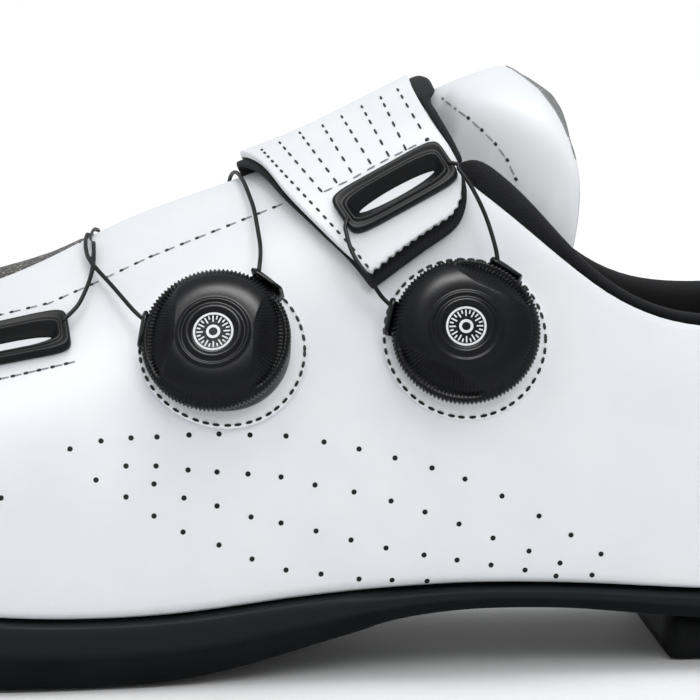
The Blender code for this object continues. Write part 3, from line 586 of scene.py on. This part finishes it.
def pinkEnd():
    # The free end of the strap is cut in small teeth.
    line = strapSet["end"]
    lengths = [math.dist(first, second) for first, second in zip(line, line[1:])]
    whole = sum(lengths)
    for vertex in strapTop.data.vertices:
        if vertex.co.y > -0.01:
            continue
        across, down = pixelOf(vertex.co)
        nearest, travelled = None, 0.0
        for (first, second), length in zip(zip(line, line[1:]), lengths):
            way = ((second[0] - first[0]) / length, (second[1] - first[1]) / length)
            arm = (across - first[0], down - first[1])
            along = min(length, max(0.0, arm[0] * way[0] + arm[1] * way[1]))
            gap = math.hypot(arm[0] - way[0] * along, arm[1] - way[1] * along)
            if nearest is None or gap < nearest[0]:
                nearest = (gap, travelled + along, (-way[1], way[0]))
            travelled += length
        gap, along, off = nearest
        if gap < 7 and 0.5 < along < whole - 0.5:
            tooth = 4 * abs((along / strapSet["pitch"]) % 1.0 - 0.5) - 1
            push = strapSet["depth"] * tooth * (1 - fade(gap, 2.0, 7.0)) * strapSet["pixel"]
            vertex.co += (viewRight * off[0] - viewUp * off[1]) * push


pinkEnd()
strapTree = surfaceTree(strapTop)
showPiece(mergedCopy("strap_lining"), "strap_back", [liningFinish], ("strap_lining",), 2, (60, 0.7))
strapEdge = settle(showPiece(mergedCopy("strap_binding"), "strap_edge", [liningFinish],
                             ("strap_binding",), 2))
bindingSet = {
    # Pixel rows, then how far the binding moves towards the leather and how much it swells.
    "inward": ((74, 0.0), (100, -0.0002), (129, -0.0005), (160, -0.0016)),
    "swell": ((74, 0.0008), (90, 0.0009), (102, 0.0003), (160, 0.0001)),
    "drop": ((70, 0.0017), (88, 0.0014), (112, 0.0)),
    # Its middle line in pixels, how much narrower it gets there, and the roll at its top.
    "line": ((74, 408), (97, 420), (129, 440), (159, 458)),
    "slim": ((94, 0.0), (104, 0.25), (150, 0.2), (160, 0.0)),
    "roll": ((70, 0.0), (78, 6.0), (90, 7.5), (94, 4.0), (98, 0.0)),
    "fades": (0.0, 0.012),
    "pixel": 0.000182,
}


def hugStrap():
    normals = [vertex.normal.copy() for vertex in strapEdge.data.vertices]
    for vertex, normal in zip(strapEdge.data.vertices, normals):
        if vertex.co.y > bindingSet["fades"][1]:
            continue
        _, down = pixelOf(vertex.co)
        swell = between(bindingSet["swell"], down)
        vertex.co += normal * swell * (1 - fade(vertex.co.y, *bindingSet["fades"]))
        vertex.co.x += between(bindingSet["inward"], down)
        vertex.co.z -= between(bindingSet["drop"], down) * (1 - fade(vertex.co.y, *bindingSet["fades"]))
        across, down = pixelOf(vertex.co)
        beside = across - between(bindingSet["line"], down)
        push = between(bindingSet["roll"], down) * fade(beside, -1.0, 5.0)
        push -= between(bindingSet["slim"], down) * beside
        vertex.co += viewRight * (push * bindingSet["pixel"] * (1 - fade(vertex.co.y, *bindingSet["fades"])))


hugStrap()
print("strap made")

# Guides, anchors, cables and the dials' housings.
guideSet = {
    "length": 0.0234,
    "width": 0.0101,
    "slot": (0.0160, 0.0018),
    "lower": 0.0006,
    "corner": 0.30,
    "steps": 96,
    # Shares of the way in to the slot, and heights over what carries the guide.
    "profile": (
        (0.0, -0.0005), (0.0, 0.0012), (0.02, 0.0017), (0.07, 0.0020), (0.14, 0.0021), (0.30, 0.0018),
        (0.38, 0.0017), (0.43, 0.0020), (0.50, 0.0021), (0.58, 0.0018), (0.72, 0.0010), (0.88, 0.0004),
        (1.0, 0.0001), (1.0, -0.0005),
    ),
}


def pieceAxes(nodeName):
    # The long axis, the wide axis and the outward normal of a flat node, from its own points.
    spots = [vertex.co for vertex in nodes[nodeName].data.vertices]
    centre = sum(spots, Vector()) / len(spots)
    spread = Matrix.Diagonal((0.0, 0.0, 0.0))
    for spot in spots:
        arm = spot - centre
        for row in range(3):
            for column in range(3):
                spread[row][column] += arm[row] * arm[column]
    long = Vector((1.0, 0.2, 0.3))
    normal = Vector((0.1, -1.0, 0.5))
    inverse = spread.inverted()
    for _ in range(60):
        long = (spread @ long).normalized()
        normal = (inverse @ normal).normalized()
    if long.x < 0:
        long = -long
    if normal.y > 0:
        normal = -normal
    return centre, long, normal.cross(long), normal


def makeGuide(nodeName, tree):
    centre, long, wide, normal = pieceAxes(nodeName)
    slotLength, slotWidth = guideSet["slot"]
    mesh = bmesh.new()
    loops = []
    for inward, height in guideSet["profile"]:
        ring = []
        for step in range(guideSet["steps"]):
            angle = math.tau * step / guideSet["steps"]
            across, along = math.cos(angle), math.sin(angle)
            power = guideSet["corner"]
            outer = (math.copysign(abs(across) ** power, across) * guideSet["length"] / 2,
                     math.copysign(abs(along) ** power, along) * guideSet["width"] / 2)
            inner = (across * slotLength / 2,
                     math.copysign(abs(along) ** 1.4, along) * slotWidth / 2 - guideSet["lower"])
            first = outer[0] + (inner[0] - outer[0]) * inward
            second = outer[1] + (inner[1] - outer[1]) * inward
            start = centre + long * first + wide * second
            spot, _, _, _ = tree.ray_cast(start + normal * 0.012, -normal, 0.03)
            if spot is None:
                spot = start - normal * 0.0015
            ring.append(mesh.verts.new(spot + normal * height))
        edges = [mesh.edges.new(pair) for pair in zip(ring, ring[1:] + ring[:1])]
        loops.append(edges)
    for first, second in zip(loops, loops[1:] + loops[:1]):
        bmesh.ops.bridge_loops(mesh, edges=first + second)
    bmesh.ops.recalc_face_normals(mesh, faces=mesh.faces)
    return showPiece(mesh, nodeName + "_skin", [guideFinish], (nodeName,), 1)


makeGuide("strap_guide", strapTree)
makeGuide("vamp_guide", upperTree)
for nodeName in ("anchor_front", "anchor_middle", "anchor_rear"):
    showPiece(mergedCopy(nodeName), nodeName + "_skin", [plasticFinish], (nodeName,), 2, (50, 0.4))
cableNames = ("cable_front", "cable_front_top", "cable_front_far", "cable_strap_left", "cable_strap_right")
cableSet = {
    # How near a guide's end a cable is cut, and how deep in the guide.
    "near": 0.0055,
    "deep": 0.0011,
    # The loop over the ridge: its columns and rows in pixels, its pull to the left and its drop.
    "columns": (86, 122),
    "rows": (233, 243),
    "pull": 0.45,
    "drop": 6.5,
    "dropColumns": (84, 94),
    "pixel": 0.000183,
}


def trimInGuide(mesh, nodeName):
    # A cable stops just inside the end of the guide that it enters.
    centre, long, wide, normal = pieceAxes(nodeName)
    for sign in (-1, 1):
        end = centre + long * (sign * guideSet["length"] / 2)
        near = [vertex for vertex in mesh.verts if (vertex.co - end).length < cableSet["near"]]
        if not near:
            continue
        edges = list({edge for vertex in near for edge in vertex.link_edges})
        faces = list({face for vertex in near for face in vertex.link_faces})
        bmesh.ops.bisect_plane(mesh, geom=near + edges + faces, dist=0.00001,
                               plane_co=end - long * (sign * cableSet["deep"]), plane_no=-long * sign,
                               clear_outer=True)
        bmesh.ops.holes_fill(mesh, edges=[edge for edge in mesh.edges if edge.is_boundary], sides=0)


def tightenLoop(cable):
    # Over the ridge the loop is drawn in tight.
    first, last = cableSet["columns"]
    for vertex in cable.data.vertices:
        across, down = pixelOf(vertex.co)
        pull = 1 - fade(down, *cableSet["rows"])
        if first < across < last:
            vertex.co -= viewRight * ((across - first) * cableSet["pull"] * pull * cableSet["pixel"])
            lower = fade(across, *cableSet["dropColumns"])
            vertex.co -= viewUp * (cableSet["drop"] * pull * lower * cableSet["pixel"])


for nodeName in cableNames:
    mesh = mergedCopy(nodeName)
    for guideName in ("strap_guide", "vamp_guide"):
        trimInGuide(mesh, guideName)
    cable = settle(showPiece(mesh, nodeName + "_skin", [cableFinish], (nodeName,), 2))
    if nodeName == "cable_front":
        tightenLoop(cable)
for side in ("front", "rear"):
    showPiece(mergedCopy("dial_base_" + side), "dial_housing_" + side, [plasticFinish],
              ("dial_base_" + side,), 2, (45, 0.6))
print("guides and cables made")

# The round leather patches under the dials.
patches = {}
for side in ("front", "rear"):
    mesh = mergedCopy("dial_patch_" + side)
    patches[side] = settle(showPiece(mesh, "dial_patch_skin_" + side, [patchLeather],
                                     ("dial_patch_" + side,), 2, (50, 0.6)))

# The knobs turn about these axes. Lengths in metres, angles in degrees.
knobSet = {
    "axes": {"front": (-0.13, -0.87, 0.46), "rear": (-0.07, -0.94, 0.33)},
    "turned": {"front": 0.0, "rear": 68.0},
    "base": 0.0047,
    "nudge": {"front": (-0.0005, -0.0004), "rear": (0.0001, -0.0001)},
    "radius": 0.0135,
    "teeth": 108,
    "toothDepth": 0.00048,
    "knurlDepth": 0.00022,
    "raised": {"front": 0.0, "rear": 0.08},
    # One bound of the smooth band, as shares of the radius. The other is its half turn.
    "bound": ((0.48, -0.80), (0.53, -0.45), (0.545, 0.06), (0.62, 0.30), (0.74, 0.66)),
    "slope": 0.34,
    "profile": (
        (0.0000, 0.01035), (0.0020, 0.01035), (0.0039, 0.01034), (0.0041, 0.01040), (0.0044, 0.01072),
        (0.0047, 0.01082), (0.0051, 0.01080), (0.0053, 0.01066), (0.0055, 0.01042), (0.0058, 0.01034),
        (0.0060, 0.01040), (0.0062, 0.01060), (0.0065, 0.01062), (0.0067, 0.01040), (0.0069, 0.01024),
    ),
    # The dished face outside that: from, to, height, fall and the power of its curve.
    "face": (0.0071, 0.0119, 0.01022, 0.00150, 2.2),
    "faceRings": 22,
    "rim": (
        (0.0121, 0.00850), (0.0123, 0.00820), (0.0126, 0.00810), (0.0128, 0.00780), (0.0135, 0.00720),
        (0.0135, 0.00620), (0.0135, 0.00540), (0.0127, 0.00500), (0.0122, 0.00475), (0.0, 0.00475),
    ),
    # The band's edges are cut from here outwards, above this height and no deeper than the last one.
    "cut": (0.0070, 0.0079, 0.0074),
    "step": 0.00008,
    "toothed": (0.0121, 0.0050),
}


def knobFrame(side):
    mesh = mergedCopy("dial_knob_" + side, False)
    axis = Vector(knobSet["axes"][side]).normalized()
    low = min(vertex.co.dot(axis) for vertex in mesh.verts)
    foot = [vertex.co for vertex in mesh.verts if vertex.co.dot(axis) < low + 0.0001]
    centre = sum(foot, Vector()) / len(foot)
    mesh.free()
    right = Vector((1.0, 0.0, 0.0))
    right = (right - axis * right.dot(axis)).normalized()
    up = axis.cross(right)
    across, along = knobSet["nudge"][side]
    origin = centre - axis * knobSet["base"] + right * across + up * along
    return Matrix.Translation(origin) @ Matrix((right, up, axis)).transposed().to_4x4()


def boundAt(height):
    rows = knobSet["bound"]
    for low, high in zip(rows, rows[1:]):
        if height <= high[1]:
            part = (height - low[1]) / (high[1] - low[1])
            return low[0] + (high[0] - low[0]) * part
    return rows[-1][0]


def makeKnob(side):
    radius = knobSet["radius"]
    profile = list(knobSet["profile"])
    first, last, height, fall, power = knobSet["face"]
    for step in range(knobSet["faceRings"] + 1):
        share = step / knobSet["faceRings"]
        profile.append((first + (last - first) * share, height - fall * share ** power))
    profile += knobSet["rim"]
    mesh = bmesh.new()
    spots = [mesh.verts.new((place, 0.0, height)) for place, height in profile]
    edges = [mesh.edges.new(pair) for pair in zip(spots, spots[1:])]
    bmesh.ops.spin(mesh, geom=spots + edges, cent=(0, 0, 0), axis=(0, 0, 1), angle=math.tau,
                   steps=knobSet["teeth"] * 4, use_merge=True)
    bmesh.ops.remove_doubles(mesh, verts=mesh.verts, dist=0.000002)
    turned = math.radians(knobSet["turned"][side])
    cutFrom, cutAbove, cutLow = knobSet["cut"]
    toothFrom, toothAbove = knobSet["toothed"]
    for vertex in mesh.verts:
        across, along, height = vertex.co
        far = math.hypot(across, along)
        angle = math.atan2(along, across)
        tooth = math.cos(angle * knobSet["teeth"])
        if far > cutFrom and height > cutAbove:
            own = angle - turned
            first = far * math.cos(own) / radius
            second = far * math.sin(own) / radius
            outside = max(first - boundAt(second) - knobSet["raised"][side], -first - boundAt(-second))
            if outside > 0.0:
                fall = outside * knobSet["slope"] * radius + knobSet["step"]
                vertex.co.z -= min(fall, height - cutLow)
                vertex.co.z += knobSet["knurlDepth"] * tooth * min(1.0, outside * 9.0)
        if far > toothFrom and height > toothAbove:
            grow = 1.0 + knobSet["toothDepth"] * (tooth * 0.5) / far
            vertex.co.x *= grow
            vertex.co.y *= grow
    bmesh.ops.recalc_face_normals(mesh, faces=mesh.faces)
    bmesh.ops.transform(mesh, matrix=knobFrame(side), verts=mesh.verts)
    return showPiece(mesh, "dial_cap_" + side, [plasticFinish], ("dial_knob_" + side,))


# A plain index ring with ticks lies in the middle of each knob.
indexSet = {
    "height": 0.01040,
    "rings": ((0.0033, 0.0037), (0.0008, 0.0013)),
    "ticks": 24,
    "tickFrom": (0.0019, 0.0024),
    "tickTo": 0.0031,
    "tickWidth": 0.00026,
}


def makeIndex(side):
    mesh = bmesh.new()
    level = indexSet["height"]
    for inner, outer in indexSet["rings"]:
        spots = [mesh.verts.new((place, 0, level + rise))
                 for place, rise in ((inner, -0.0002), (inner, 0.00008), (outer, 0.00008), (outer, -0.0002))]
        edges = [mesh.edges.new(pair) for pair in zip(spots, spots[1:] + spots[:1])]
        bmesh.ops.spin(mesh, geom=spots + edges, cent=(0, 0, 0), axis=(0, 0, 1), angle=math.tau, steps=64,
                       use_merge=True)
    for tick in range(indexSet["ticks"]):
        turn = Matrix.Rotation(math.tau * tick / indexSet["ticks"], 4, "Z")
        start = indexSet["tickFrom"][tick % 2]
        length = indexSet["tickTo"] - start
        place = Matrix.Translation((start + length / 2, 0, level - 0.00005))
        size = Matrix.Diagonal((length, indexSet["tickWidth"], indexSet["tickWidth"], 1))
        bmesh.ops.create_cube(mesh, size=1.0, matrix=turn @ place @ size)
    bmesh.ops.remove_doubles(mesh, verts=mesh.verts, dist=0.000002)
    bmesh.ops.recalc_face_normals(mesh, faces=mesh.faces)
    bmesh.ops.transform(mesh, matrix=knobFrame(side), verts=mesh.verts)
    piece = showPiece(mesh, "dial_index_" + side, [markFinish])
    for face in piece.data.polygons:
        face.use_smooth = False
    return piece


for side in ("front", "rear"):
    makeKnob(side)
    makeIndex(side)
print("dials made")


# Stitches: little beads laid along a line on a surface, for thread and for painted shade of needle holes and
# of the tongue's rim fold.
def linePoints(tree, pixels):
    found = []
    for first, second in zip(pixels, pixels[1:]):
        steps = max(2, int(math.dist(first, second)))
        for step in range(steps):
            part = step / steps
            across = first[0] + (second[0] - first[0]) * part
            down = first[1] + (second[1] - first[1]) * part
            spot, normal, _, _ = tree.ray_cast(eye, pixelRay(across, down))
            if spot is not None:
                found.append((spot, normal))
    return found


def evenPoints(points, pitch, start=0.0):
    picked = []
    travelled = -start
    for (spot, normal), (after, _) in zip(points, points[1:]):
        step = (after - spot).length
        if step > 0.004:
            continue
        while travelled <= 0 and step > 0:
            picked.append((spot, normal, (after - spot).normalized()))
            travelled += pitch
        travelled -= step
    return picked


def addBead(mesh, spot, normal, along, size):
    side = normal.cross(along).normalized()
    along = side.cross(normal).normalized()
    turn = Matrix((along, side, normal)).transposed().to_4x4()
    place = Matrix.Translation(spot + normal * (size[2] * 0.12))
    made = bmesh.ops.create_uvsphere(mesh, u_segments=8, v_segments=6, radius=1.0)
    for vertex in made["verts"]:
        long, wide, high = vertex.co
        long = math.copysign(abs(long) ** 0.55, long)  # A blunt end, as thread has where it dives in.
        vertex.co = Vector((long * size[0] / 2, wide * size[1] / 2, high * size[2] / 2))
    bmesh.ops.transform(mesh, matrix=place @ turn, verts=made["verts"])


def stitchLines(name, lines, tree, pitch, size, material, start=0.0):
    mesh = bmesh.new()
    count = 0
    for points in lines:
        if points and not isinstance(points[0][0], Vector):
            points = linePoints(tree, points)
        for spot, normal, along in evenPoints(points, pitch, start):
            addBead(mesh, spot, normal, along, size)
            count += 1
    print(name, count, "stitches")
    return showPiece(mesh, name, [material])


# Each call gives the pitch, then the length, width and height of a bead.
facingLine = ((0, 315), (50, 303), (95, 283), (150, 257), (200, 237), (250, 217), (290, 201))
stitchLines("facing_thread", [facingLine], upperTree, 0.00315, (0.0017, 0.00042, 0.0003), greyThreadAndPaintedShade)
# The black beads at one end of each grey dash are painted shade of the needle holes.
stitchLines("facing_hole_shade", [facingLine], upperTree, 0.00315, (0.0009, 0.00062, 0.0004), blackThreadAndHoleShade,
            start=0.0009)

strapLines = [
    ((280, 143), (322, 192)), ((300, 133), (337, 183)), ((323, 126), (354.5, 177)), ((342, 117), (371, 164)),
    ((362, 107), (391, 160)), ((381, 98), (407.5, 153)), ((398, 90), (424, 134)),
]
stitchLines("strap_row_stitches", strapLines, strapTree, 0.0032, (0.0016, 0.00048, 0.00036), blackThreadAndHoleShade)
edgeLine = ((262, 150), (285, 175), (320, 212), (350, 245), (372, 272))
stitchLines("strap_edge_stitches", [edgeLine], strapTree, 0.00215, (0.0011, 0.00052, 0.00036), blackThreadAndHoleShade)
crossLine = ((328, 190), (352, 179), (378, 164), (404, 151), (428, 139))
stitchLines("strap_cross_thread", [crossLine], strapTree, 0.0030, (0.0019, 0.0004, 0.0003), greyThreadAndPaintedShade)
stitchLines("strap_cross_knot", [((427, 139.5), (431, 137))], strapTree, 0.0030, (0.0009, 0.0008, 0.0004),
            blackThreadAndHoleShade)
guideLine = ((-10, 381), (5, 378), (40, 370), (78, 361))
stitchLines("vamp_thread", [guideLine], upperTree, 0.0025, (0.0020, 0.0004, 0.0003), greyThreadAndPaintedShade)
# The black beads by the grey dashes are painted shade of the needle holes.
stitchLines("vamp_hole_shade", [guideLine], upperTree, 0.0025, (0.0010, 0.0006, 0.0004), blackThreadAndHoleShade,
            start=0.0009)
tongueHoleSpots = ((443, 98.5), (455.5, 108.5), (468.5, 118), (482, 130), (495.7, 144), (507.5, 160), (516, 179))
holeShadeLines = [((across, down), (across + 1.5, down + 1.5)) for across, down in tongueHoleSpots]
threadLines = [((first[0] * 0.72 + second[0] * 0.28, first[1] * 0.72 + second[1] * 0.28), second)
               for first, second in zip(tongueHoleSpots, tongueHoleSpots[1:])]
stitchLines("tongue_thread", threadLines, tongueTree, 0.0090, (0.0021, 0.0004, 0.0003), greyThreadAndPaintedShade,
            start=-0.0009)
# The beads at the tongue's stitch points are painted shade of the needle holes: black, and a lighter grey
# for the two far ones.
stitchLines("tongue_hole_shade", holeShadeLines[2:], tongueTree, 0.0090, (0.0008, 0.0007, 0.0005), blackThreadAndHoleShade)
stitchLines("tongue_hole_shade_far", holeShadeLines[:2], tongueTree, 0.0090, (0.0007, 0.0006, 0.0004), greyThreadAndPaintedShade)
# Grey beads along the tongue's rim: partly a seam, partly a painted shade line where the rim turns over to
# the inner face.
stitchLines("tongue_seam_shade_line", [tongueSet["rim"][:8]], tongueTree, 0.0010, (0.0013, 0.0004, 0.0003), greyThreadAndPaintedShade)


ringSet = {"radius": 0.0150, "above": 0.02, "steps": 360}


def patchRing(side):
    # A ring of points on the patch, square to the knob's axis.
    place = knobFrame(side)
    tree = surfaceTree(patches[side])
    axis = place.to_3x3() @ Vector((0, 0, 1))
    data = patches[side].data
    centre = sum((vertex.co for vertex in data.vertices), Vector()) / len(data.vertices)
    points = []
    for step in range(ringSet["steps"] + 1):
        angle = math.tau * step / ringSet["steps"]
        offset = place.to_3x3() @ Vector((math.cos(angle), math.sin(angle), 0)) * ringSet["radius"]
        start = centre + offset + axis * ringSet["above"]
        spot, normal, _, _ = tree.ray_cast(start, -axis)
        if spot is not None:
            points.append((spot, normal))
    return points


for side in ("front", "rear"):
    stitchLines("patch_stitches_" + side, [patchRing(side)], None, 0.0020, (0.00135, 0.0006, 0.0004),
                blackThreadAndHoleShade)

# Pinholes in rows along the side, as flat dark discs on the outer and inner faces with no hole cut: painted
# shade of the holes.
pinholeSet = {
    "radius": 0.0005,
    "rows": (
        (1, 498), (70, 449), (101, 441), (131, 438), (157, 437), (189, 435), (219, 434), (250, 435),
        (286, 436), (324, 442), (359, 449), (395, 458), (432, 468), (465, 479), (502, 496),
        (539, 516), (571, 535), (601, 554), (96, 480), (126, 466), (156, 466), (188, 470),
        (217, 472), (248, 474), (281, 477), (315, 485), (354, 492), (391, 501), (425, 512),
        (459, 524), (493, 538), (529, 551), (560, 563), (592, 575), (126, 497), (154, 484),
        (184, 498), (217, 506), (251, 517), (281, 523), (316, 531), (351, 540), (386, 548),
        (424, 555), (457, 560), (491, 565), (525, 570), (556, 576), (154, 516), (183, 532),
        (219, 545), (252, 559), (286, 570), (321, 574), (359, 579), (392, 580), (427, 581),
    ),
}


def makePinholes():
    mesh = bmesh.new()
    for across, down in pinholeSet["rows"]:
        spot, normal, _, _ = upperTree.ray_cast(eye, pixelRay(across, down))
        if spot is None:
            continue
        inner, innerNormal, _, _ = upperTree.ray_cast(Vector((spot.x, 0.2, spot.z)), Vector((0, -1, 0)))
        for place, facing in ((spot, normal), (inner, innerNormal)):
            if place is None:
                continue
            turn = facing.to_track_quat("Z", "Y").to_matrix().to_4x4()
            bmesh.ops.create_circle(mesh, cap_ends=True, segments=16, radius=pinholeSet["radius"],
                                    matrix=Matrix.Translation(place + facing * 0.00004) @ turn)
    return showPiece(mesh, "side_pinholes", [paintedHoleShade])


makePinholes()
print("stitches and pinholes made")

# Floor, light and colour.
lightSet = {
    "left": 0.79,
    "right": 0.66,
    "seen": 1.0,
    "tint": (0.97, 0.983, 1.0),
    "top": {"at": (0.06, 0.04, 0.95), "size": 0.62, "deep": 0.22, "power": 2.3, "rays": "diffuse"},
    "strip": {"at": (-0.05, -0.36, 0.90), "size": 0.50, "deep": 0.30, "power": 13.0, "rays": "glossy"},
    "key": {"at": (0.40, -0.85, 0.75), "size": 0.45, "deep": 0.45, "power": 2.1, "rays": "diffuse"},
    "low": {"at": (0.07, 0.9, 0.16), "size": 0.6, "deep": 0.20, "power": 2.2, "rays": "diffuse"},
}
floorSet = {"near": 0.38, "far": 0.95, "paint": 0.95}


def makeFloor():
    mesh = bmesh.new()
    bmesh.ops.create_grid(mesh, x_segments=2, y_segments=2, size=6.0,
                          matrix=Matrix.Translation((0, 0, -0.0002)))
    data = bpy.data.meshes.new("floor")
    mesh.to_mesh(data)
    mesh.free()
    material, tree, shader = newMaterial("paleFloor", {"Roughness": 0.8, "Emission Strength": 1.0,
                                                       "Specular IOR Level": 0.1})
    place = tree.nodes.new("ShaderNodeTexCoord").outputs["Object"]
    reach = tree.nodes.new("ShaderNodeVectorMath")
    reach.operation = "LENGTH"
    tree.links.new(place, reach.inputs[0])
    away = mapRange(tree, reach.outputs["Value"], 0.0, 1.0, floorSet["near"], floorSet["far"])
    paint = floorSet["paint"]
    speckle = mapRange(tree, noiseNode(tree, place, 420.0, 3.0), 0.975 * paint, paint)
    shade = tree.nodes.new("ShaderNodeMix")
    shade.data_type = "RGBA"
    shade.inputs["B"].default_value = (0.0, 0.0, 0.0, 1.0)
    tree.links.new(away, shade.inputs["Factor"])
    tree.links.new(speckle, shade.inputs["A"])
    tree.links.new(shade.outputs["Result"], shader.inputs["Base Color"])
    tree.links.new(mixColours(tree, away, (0.0, 0.0, 0.0), (1.0, 1.0, 1.0)), shader.inputs["Emission Color"])
    data.materials.append(material)
    floor = bpy.data.objects.new("floor", data)
    bpy.context.scene.collection.objects.link(floor)


def makeWorld():
    world = bpy.data.worlds.new("studio")
    bpy.context.scene.world = world
    world.use_nodes = True
    tree = world.node_tree
    shade = tree.nodes["Background"]
    parts = tree.nodes.new("ShaderNodeSeparateXYZ")
    tree.links.new(tree.nodes.new("ShaderNodeTexCoord").outputs["Generated"], parts.inputs[0])
    tree.links.new(mapRange(tree, parts.outputs["X"], lightSet["left"], lightSet["right"], -0.8, 0.8),
                   shade.inputs["Strength"])
    shade.inputs["Color"].default_value = (*lightSet["tint"], 1.0)
    backdrop = tree.nodes.new("ShaderNodeBackground")
    backdrop.inputs["Color"].default_value = (1.0, 1.0, 1.0, 1.0)
    backdrop.inputs["Strength"].default_value = lightSet["seen"]
    mix = tree.nodes.new("ShaderNodeMixShader")
    path = tree.nodes.new("ShaderNodeLightPath")
    tree.links.new(path.outputs["Is Camera Ray"], mix.inputs["Fac"])
    tree.links.new(shade.outputs[0], mix.inputs[1])
    tree.links.new(backdrop.outputs[0], mix.inputs[2])
    tree.links.new(mix.outputs[0], tree.nodes["World Output"].inputs["Surface"])


def makeLights():
    for name in ("top", "strip", "key", "low"):
        values = lightSet[name]
        data = bpy.data.lights.new(name, "AREA")
        data.shape = "RECTANGLE"
        data.size = values["size"]
        data.size_y = values["deep"]
        data.energy = values["power"]
        light = bpy.data.objects.new(name, data)
        bpy.context.scene.collection.objects.link(light)
        light.visible_glossy = values["rays"] == "glossy"
        light.visible_diffuse = values["rays"] == "diffuse"
        at = Vector(values["at"])
        aim = (Vector((at.x, 0, 0.05)) - at).to_track_quat("-Z", "Y")
        light.matrix_world = Matrix.Translation(at) @ aim.to_matrix().to_4x4()
    bpy.context.scene.view_settings.view_transform = "Standard"


makeFloor()
makeWorld()
makeLights()
print("stage made")
